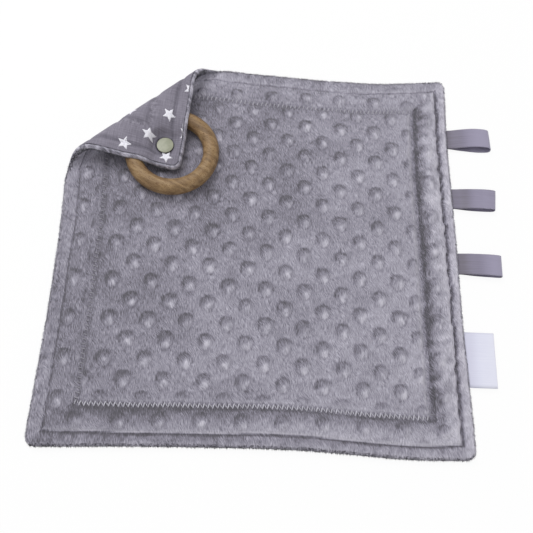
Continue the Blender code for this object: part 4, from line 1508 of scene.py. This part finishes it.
LABEL = (LABEL_ROUTE, LABEL_WIDTH)
TAGS = {
    "loop_upper": ("satin_loop_upper", LOOP, UPPER_SHIFTS, -0.05, 0.25, 71),
    "loop_middle": ("satin_loop_middle", LOOP, MIDDLE_SHIFTS, 0.10, 0.35, 72),
    "loop_lower": ("satin_loop_lower", LOOP, LOWER_SHIFTS, 0.02, 0.15, 73),
    "label": ("woven_label", LABEL, LABEL_SHIFTS, 0.01, 0.18, 74),
}
tags = {}
for body, (name, (route, width), shifts, skew, wave, seed) in TAGS.items():
    tags[name], length = make_band(name, body, route, shifts, width, skew, wave, seed)
    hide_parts("care_label" if body == "label" else f"ribbon_{body}")
    print(name, "length", round(length, 4))

# %% [markdown]
# ## Materials
#
# Each material starts from the real stuff. Colours are written as on a screen, in hex, and one
# function turns them into the linear values that Blender mixes. One more function adds a node
# with its settings and links, and the rest are common groups of nodes.

# %% Helpers for materials
def linear(code):
    """A hex colour as linear red, green, blue and alpha."""
    values = [int(code[start:start + 2], 16) / 255 for start in (1, 3, 5)]
    curve = [
        value / 12.92 if value <= 0.04045 else ((value + 0.055) / 1.055) ** 2.4
        for value in values
    ]
    return (*curve, 1.0)


def add_node(tree, kind, inputs=None, **settings):
    """Adds a node. inputs gives its sockets values or links, and settings are its own options."""
    node = tree.nodes.new(kind)
    for name, value in settings.items():
        setattr(node, name, value)
    for socket, value in (inputs or {}).items():
        if isinstance(value, bpy.types.NodeSocket):
            tree.links.new(value, node.inputs[socket])
        else:
            node.inputs[socket].default_value = value
    return node


def new_material(name, settings):
    """A material, with the settings on its shader's own sockets."""
    material = bpy.data.materials.new(name)
    material.use_nodes = True
    shader = material.node_tree.nodes["Principled BSDF"]
    for socket, value in settings.items():
        shader.inputs[socket].default_value = value
    return material, material.node_tree, shader


def give(material, *items):
    for item in items:
        item.data.materials.clear()
        item.data.materials.append(material)


def dress(material, slot, *items):
    """Gives pieces their material. The slot is not used."""
    give(material, *items)


# %% Groups of nodes
def flat_places(tree):
    """Places on the flat cloth, in metres."""
    return add_node(tree, "ShaderNodeUVMap", uv_map="cloth").outputs["UV"]


def solid_places(tree):
    return add_node(tree, "ShaderNodeTexCoord").outputs["Object"]


def stored_tone(tree):
    return add_node(tree, "ShaderNodeAttribute", attribute_name="tone_with_painted_light").outputs["Fac"]


def stretched(tree, places, scale, turn=0.0):
    """Turns places about the upright axis and scales them, so that noise runs into streaks."""
    turned = add_node(tree, "ShaderNodeMapping", {"Vector": places, "Rotation": (0, 0, turn)})
    scaled = add_node(tree, "ShaderNodeMapping", {"Vector": turned.outputs[0], "Scale": scale})
    return scaled.outputs[0]


def noise(tree, places, scale=1.0, detail=2.0, **more):
    sockets = {"Vector": places, "Scale": scale, "Detail": detail, **more}
    return add_node(tree, "ShaderNodeTexNoise", sockets).outputs["Fac"]


def multiply_add(tree, value, factor, added):
    sockets = {0: value, 1: factor, 2: added}
    return add_node(tree, "ShaderNodeMath", sockets, operation="MULTIPLY_ADD").outputs[0]


def coloured(tree, value, *stops):
    """A colour for a value. The stops are places from 0 to 1 with their hex colours."""
    ramp = add_node(tree, "ShaderNodeValToRGB", {"Fac": value})
    elements = ramp.color_ramp.elements
    elements.remove(elements[1])
    elements[0].position = stops[0][0]
    elements[0].color = linear(stops[0][1])
    for place, code in stops[1:]:
        elements.new(place).color = linear(code)
    return ramp.outputs["Color"]


def paint(shader, colour):
    shader.id_data.links.new(colour, shader.inputs["Base Color"])


def add_bump(tree, shader, height, strength, distance):
    sockets = {"Height": height, "Strength": strength, "Distance": distance}
    bump = add_node(tree, "ShaderNodeBump", sockets)
    tree.links.new(bump.outputs["Normal"], shader.inputs["Normal"])


# %% [markdown]
# ### Polyester plush
#
# The plush is knitted polyester with a short brushed pile. It has no gloss, a soft sheen at
# grazing angles, and a stored tone that holds painted light and shade besides random tone. Its
# streaks of noise are half a millimetre wide and run along the pile in loose swirls. Real fibres
# are far finer, but would not show.

# %% Plush
FIBRE_SPACING = 0.5 * MM
FIBRE_LENGTH = 3.9 * MM
FIBRE_CONTRAST = 1.9
SWIRL_SCALE = 75.0
SWIRL_SHIFT = 7 * MM
FIBRE_TURN = -math.atan2(NAP_DIRECTION.x, -NAP_DIRECTION.y)

plush_material, tree, shader = new_material("brushed_polyester_plush", {
    "Roughness": 0.95, "Specular IOR Level": 0.15, "Sheen Weight": 0.15, "Sheen Roughness": 0.6,
})
plan = flat_places(tree)
swirl = add_node(tree, "ShaderNodeTexNoise", {"Vector": plan, "Scale": SWIRL_SCALE, "Detail": 1.0})
swirled = add_node(tree, "ShaderNodeVectorMath", {
    0: swirl.outputs["Color"], 1: (SWIRL_SHIFT, SWIRL_SHIFT, 0.0), 2: plan,
}, operation="MULTIPLY_ADD")
combed = stretched(
    tree, swirled.outputs[0], (1 / FIBRE_SPACING, 1 / FIBRE_LENGTH, 1), FIBRE_TURN,
)
fibres = noise(tree, combed, detail=3.0, Roughness=0.7)
spread = multiply_add(tree, fibres, 1.0, -0.5)
toned = multiply_add(tree, spread, FIBRE_CONTRAST, stored_tone(tree))
paint(shader, coloured(
    tree, toned, (0.0, "#56545A"), (0.25, "#7A7783"), (0.5, "#9A97A4"), (0.75, "#B7B4C1"),
    (1.0, "#D2CFDA"),
))
add_bump(tree, shader, fibres, 0.8, 0.6 * MM)
dress(plush_material, "dimple_plush", *plush.layer.values(), *tufts.values())

# %% [markdown]
# ### Printed cotton
#
# The cotton is a plain weave. Its threads are about 0.25 mm apart, drawn here at 0.7 mm so that
# they show. Some threads are thicker than others, which gives fine streaks both ways.

# %% Cotton
THREAD_SCALE = 1400.0
STREAK_SCALE = THREAD_SCALE * 0.06

cotton_material, tree, shader = new_material("printed_plain_weave_cotton", {
    "Roughness": 0.9, "Specular IOR Level": 0.25,
})
plan = flat_places(tree)
warp = noise(tree, stretched(tree, plan, (THREAD_SCALE, STREAK_SCALE, 1)))
weft = noise(tree, stretched(tree, plan, (STREAK_SCALE, THREAD_SCALE, 1)))
weave = multiply_add(tree, weft, 0.5, multiply_add(tree, warp, 0.5, 0.0))
# The stored tone carries painted shade along the seams, round the cap and in the crumples.
toned = multiply_add(tree, stored_tone(tree), 0.4, weave)
paint(shader, coloured(
    tree, toned, (0.15, "#36333B"), (0.32, "#595560"), (0.5, "#6C6974"), (0.7, "#7C7884"),
    (0.9, "#8F8B97"),
))
add_bump(tree, shader, weave, 0.4, 0.15 * MM)
dress(cotton_material, "star_cotton", *cotton.layer.values())

# %% Thread and star ink
for cloth, dark, light, slot in (
    (plush, "#5A5760", "#D2D0DB", "dimple_plush"), (cotton, "#6F6B76", "#A09CA8", "star_cotton"),
):
    material, tree, shader = new_material(f"polyester_thread_{cloth.label}", {"Roughness": 0.55})
    twist = noise(tree, solid_places(tree), 1500.0, 1.0)
    # For plush threads the stored tone holds painted shade by side, and each stroke varies at
    # random.
    toned = multiply_add(tree, twist, 0.4, stored_tone(tree))
    paint(shader, coloured(tree, toned, (0.2, dark), (1.0, light)))
    dress(material, slot, *cloth.threads.values())

ink_material, tree, shader = new_material("white_textile_ink", {"Roughness": 0.85})
worn = noise(tree, solid_places(tree), 1100.0)
paint(shader, coloured(tree, worn, (0.28, "#D2D0DA"), (0.5, "#E9E8F0")))
dress(ink_material, "star_cotton", *stars.values())

# %% [markdown]
# ### Beech
#
# Beech is pale brown with short dark flecks, one to three millimetres long, that all lie along
# the grain. The ring is cut from one board, so its grain runs straight across it and not round
# it. It is sanded and left without lacquer.

# %% Wood
GRAIN_TURN = math.radians(28)
BAND_SCALE = (14, 330, 330)
FLECK_SCALE = (420, 2600, 2600)

wood_material, tree, shader = new_material("sanded_beech", {
    "Roughness": 0.55, "Specular IOR Level": 0.35,
})
board = solid_places(tree)
bands = noise(tree, stretched(tree, board, BAND_SCALE, GRAIN_TURN), detail=4.0, Distortion=0.4)
flecks = noise(tree, stretched(tree, board, FLECK_SCALE, GRAIN_TURN), detail=1.0)
wood_colour = add_node(tree, "ShaderNodeMix", {
    0: 1.0,
    6: coloured(
        tree, bands, (0.25, "#604A33"), (0.42, "#7B6244"), (0.56, "#8E7452"), (0.75, "#A08866"),
    ),
    7: coloured(tree, flecks, (0.3, "#B08F70"), (0.42, "#FFFFFF")),
}, data_type="RGBA", blend_type="MULTIPLY")
paint(shader, wood_colour.outputs[2])
add_bump(tree, shader, flecks, 0.15, 0.1 * MM)
dress(wood_material, "beech", ring)

# %% [markdown]
# ### Moulded acetal
#
# Snaps are moulded from acetal, which is dense, slightly waxy and half glossy. The colour is an
# olive cream. A faint mottle keeps it from looking like paint.

# %% Snap plastic
snap_material, tree, shader = new_material("moulded_acetal", {"Roughness": 0.38, "IOR": 1.48})
mottle = noise(tree, solid_places(tree), 260.0, 3.0)
paint(shader, coloured(tree, mottle, (0.35, "#878A75"), (0.65, "#949682")))
dress(snap_material, "snap_plastic", cap)
for node in ("snap_socket", "snap_stud", "snap_rear_cap"):
    give(snap_material, bpy.data.objects[node])

# %% [markdown]
# ### Satin ribbon and label
#
# Satin has long threads on its face, so it shines in bands across them. The ribbon's threads
# run along it, half a millimetre apart here. The label is a finer white satin.

# %% Ribbon and label
SATINS = (
    ("satin_ribbon", "#6B6672", "#837E92", "#9792A8", 0.5 * MM, 0.42),
    ("white_label_satin", "#D2D2E4", "#DCDDEE", "#E6E7F4", 0.4 * MM, 0.5),
)
satins = {}
for name, dark, middle, light, spacing, roughness in SATINS:
    satins[name], tree, shader = new_material(name, {"Roughness": roughness, "Sheen Weight": 0.1})
    lines = noise(tree, stretched(tree, flat_places(tree), (40, 1 / spacing, 1)))
    # The stored tone is painted shade near the seam, lighter towards the band's far end.
    toned = multiply_add(tree, lines, 0.5, stored_tone(tree))
    paint(shader, coloured(tree, toned, (0.35, dark), (0.7, middle), (1.0, light)))
    add_bump(tree, shader, lines, 0.3, 0.1 * MM)
*loops, woven_label = tags.values()
dress(satins["satin_ribbon"], "satin_ribbon", *loops)
dress(satins["white_label_satin"], "label_satin", woven_label)

# %% [markdown]
# ## Floor and light
#
# The floor is white and catches a faint shadow. It and the sky look almost white by
# themselves to the camera, in gloss and through glass, which keeps the background white
# without more light on the cloth. One large soft lamp stands behind and to the left, a weak
# one fills from the front right, and the sky lights the rest.

# %% Stage
FLOOR_DROP = 0.05 * MM
FLOOR_GLOW = 0.93
SKY_STRENGTH = 0.55


def background_rays(tree):
    """One for rays from the camera, from gloss and through glass, which see the background."""
    rays = add_node(tree, "ShaderNodeLightPath")
    gloss = add_node(tree, "ShaderNodeMath", {
        0: rays.outputs["Is Camera Ray"], 1: rays.outputs["Is Glossy Ray"],
    }, operation="MAXIMUM")
    return add_node(tree, "ShaderNodeMath", {
        0: gloss.outputs[0], 1: rays.outputs["Is Transmission Ray"],
    }, operation="MAXIMUM").outputs[0]


bpy.ops.object.select_all(action="DESELECT")
bpy.ops.mesh.primitive_plane_add(size=6, location=(0, 0, -FLOOR_DROP))
floor = bpy.context.object
floor.name = "floor"
floor_material, tree, shader = new_material("white_paper", {
    "Base Color": linear("#F6F6F6"), "Roughness": 0.9, "Specular IOR Level": 0.0,
})
glow = add_node(tree, "ShaderNodeEmission", {"Color": (1, 1, 1, 1), "Strength": 1.0})
both = add_node(tree, "ShaderNodeMixShader", {
    0: multiply_add(tree, background_rays(tree), FLOOR_GLOW, 0.0),
    1: shader.outputs[0], 2: glow.outputs[0],
})
tree.links.new(both.outputs[0], tree.nodes["Material Output"].inputs["Surface"])
give(floor_material, floor)

# %% Sky and lamps
world = bpy.data.worlds.new("studio")
bpy.context.scene.world = world
world.use_nodes = True
tree = world.node_tree
sky = tree.nodes["Background"]
sky.inputs["Color"].default_value = (1, 1, 1, 1)
seen = multiply_add(tree, background_rays(tree), 1 - SKY_STRENGTH, SKY_STRENGTH)
tree.links.new(seen, sky.inputs["Strength"])
LAMPS = {"key": ((-0.5, 0.6, 1.15), 11, 0.8), "fill": ((0.9, -0.9, 0.9), 2.5, 1.0)}
for name, (place, power, size) in LAMPS.items():
    lamp = bpy.data.objects.new(name, bpy.data.lights.new(name, "AREA"))
    bpy.context.scene.collection.objects.link(lamp)
    lamp.data.energy = power
    lamp.data.size = size
    lamp.location = place
    lamp.rotation_euler = (-Vector(place)).to_track_quat("-Z", "Y").to_euler()
bpy.context.scene.view_settings.view_transform = "Standard"
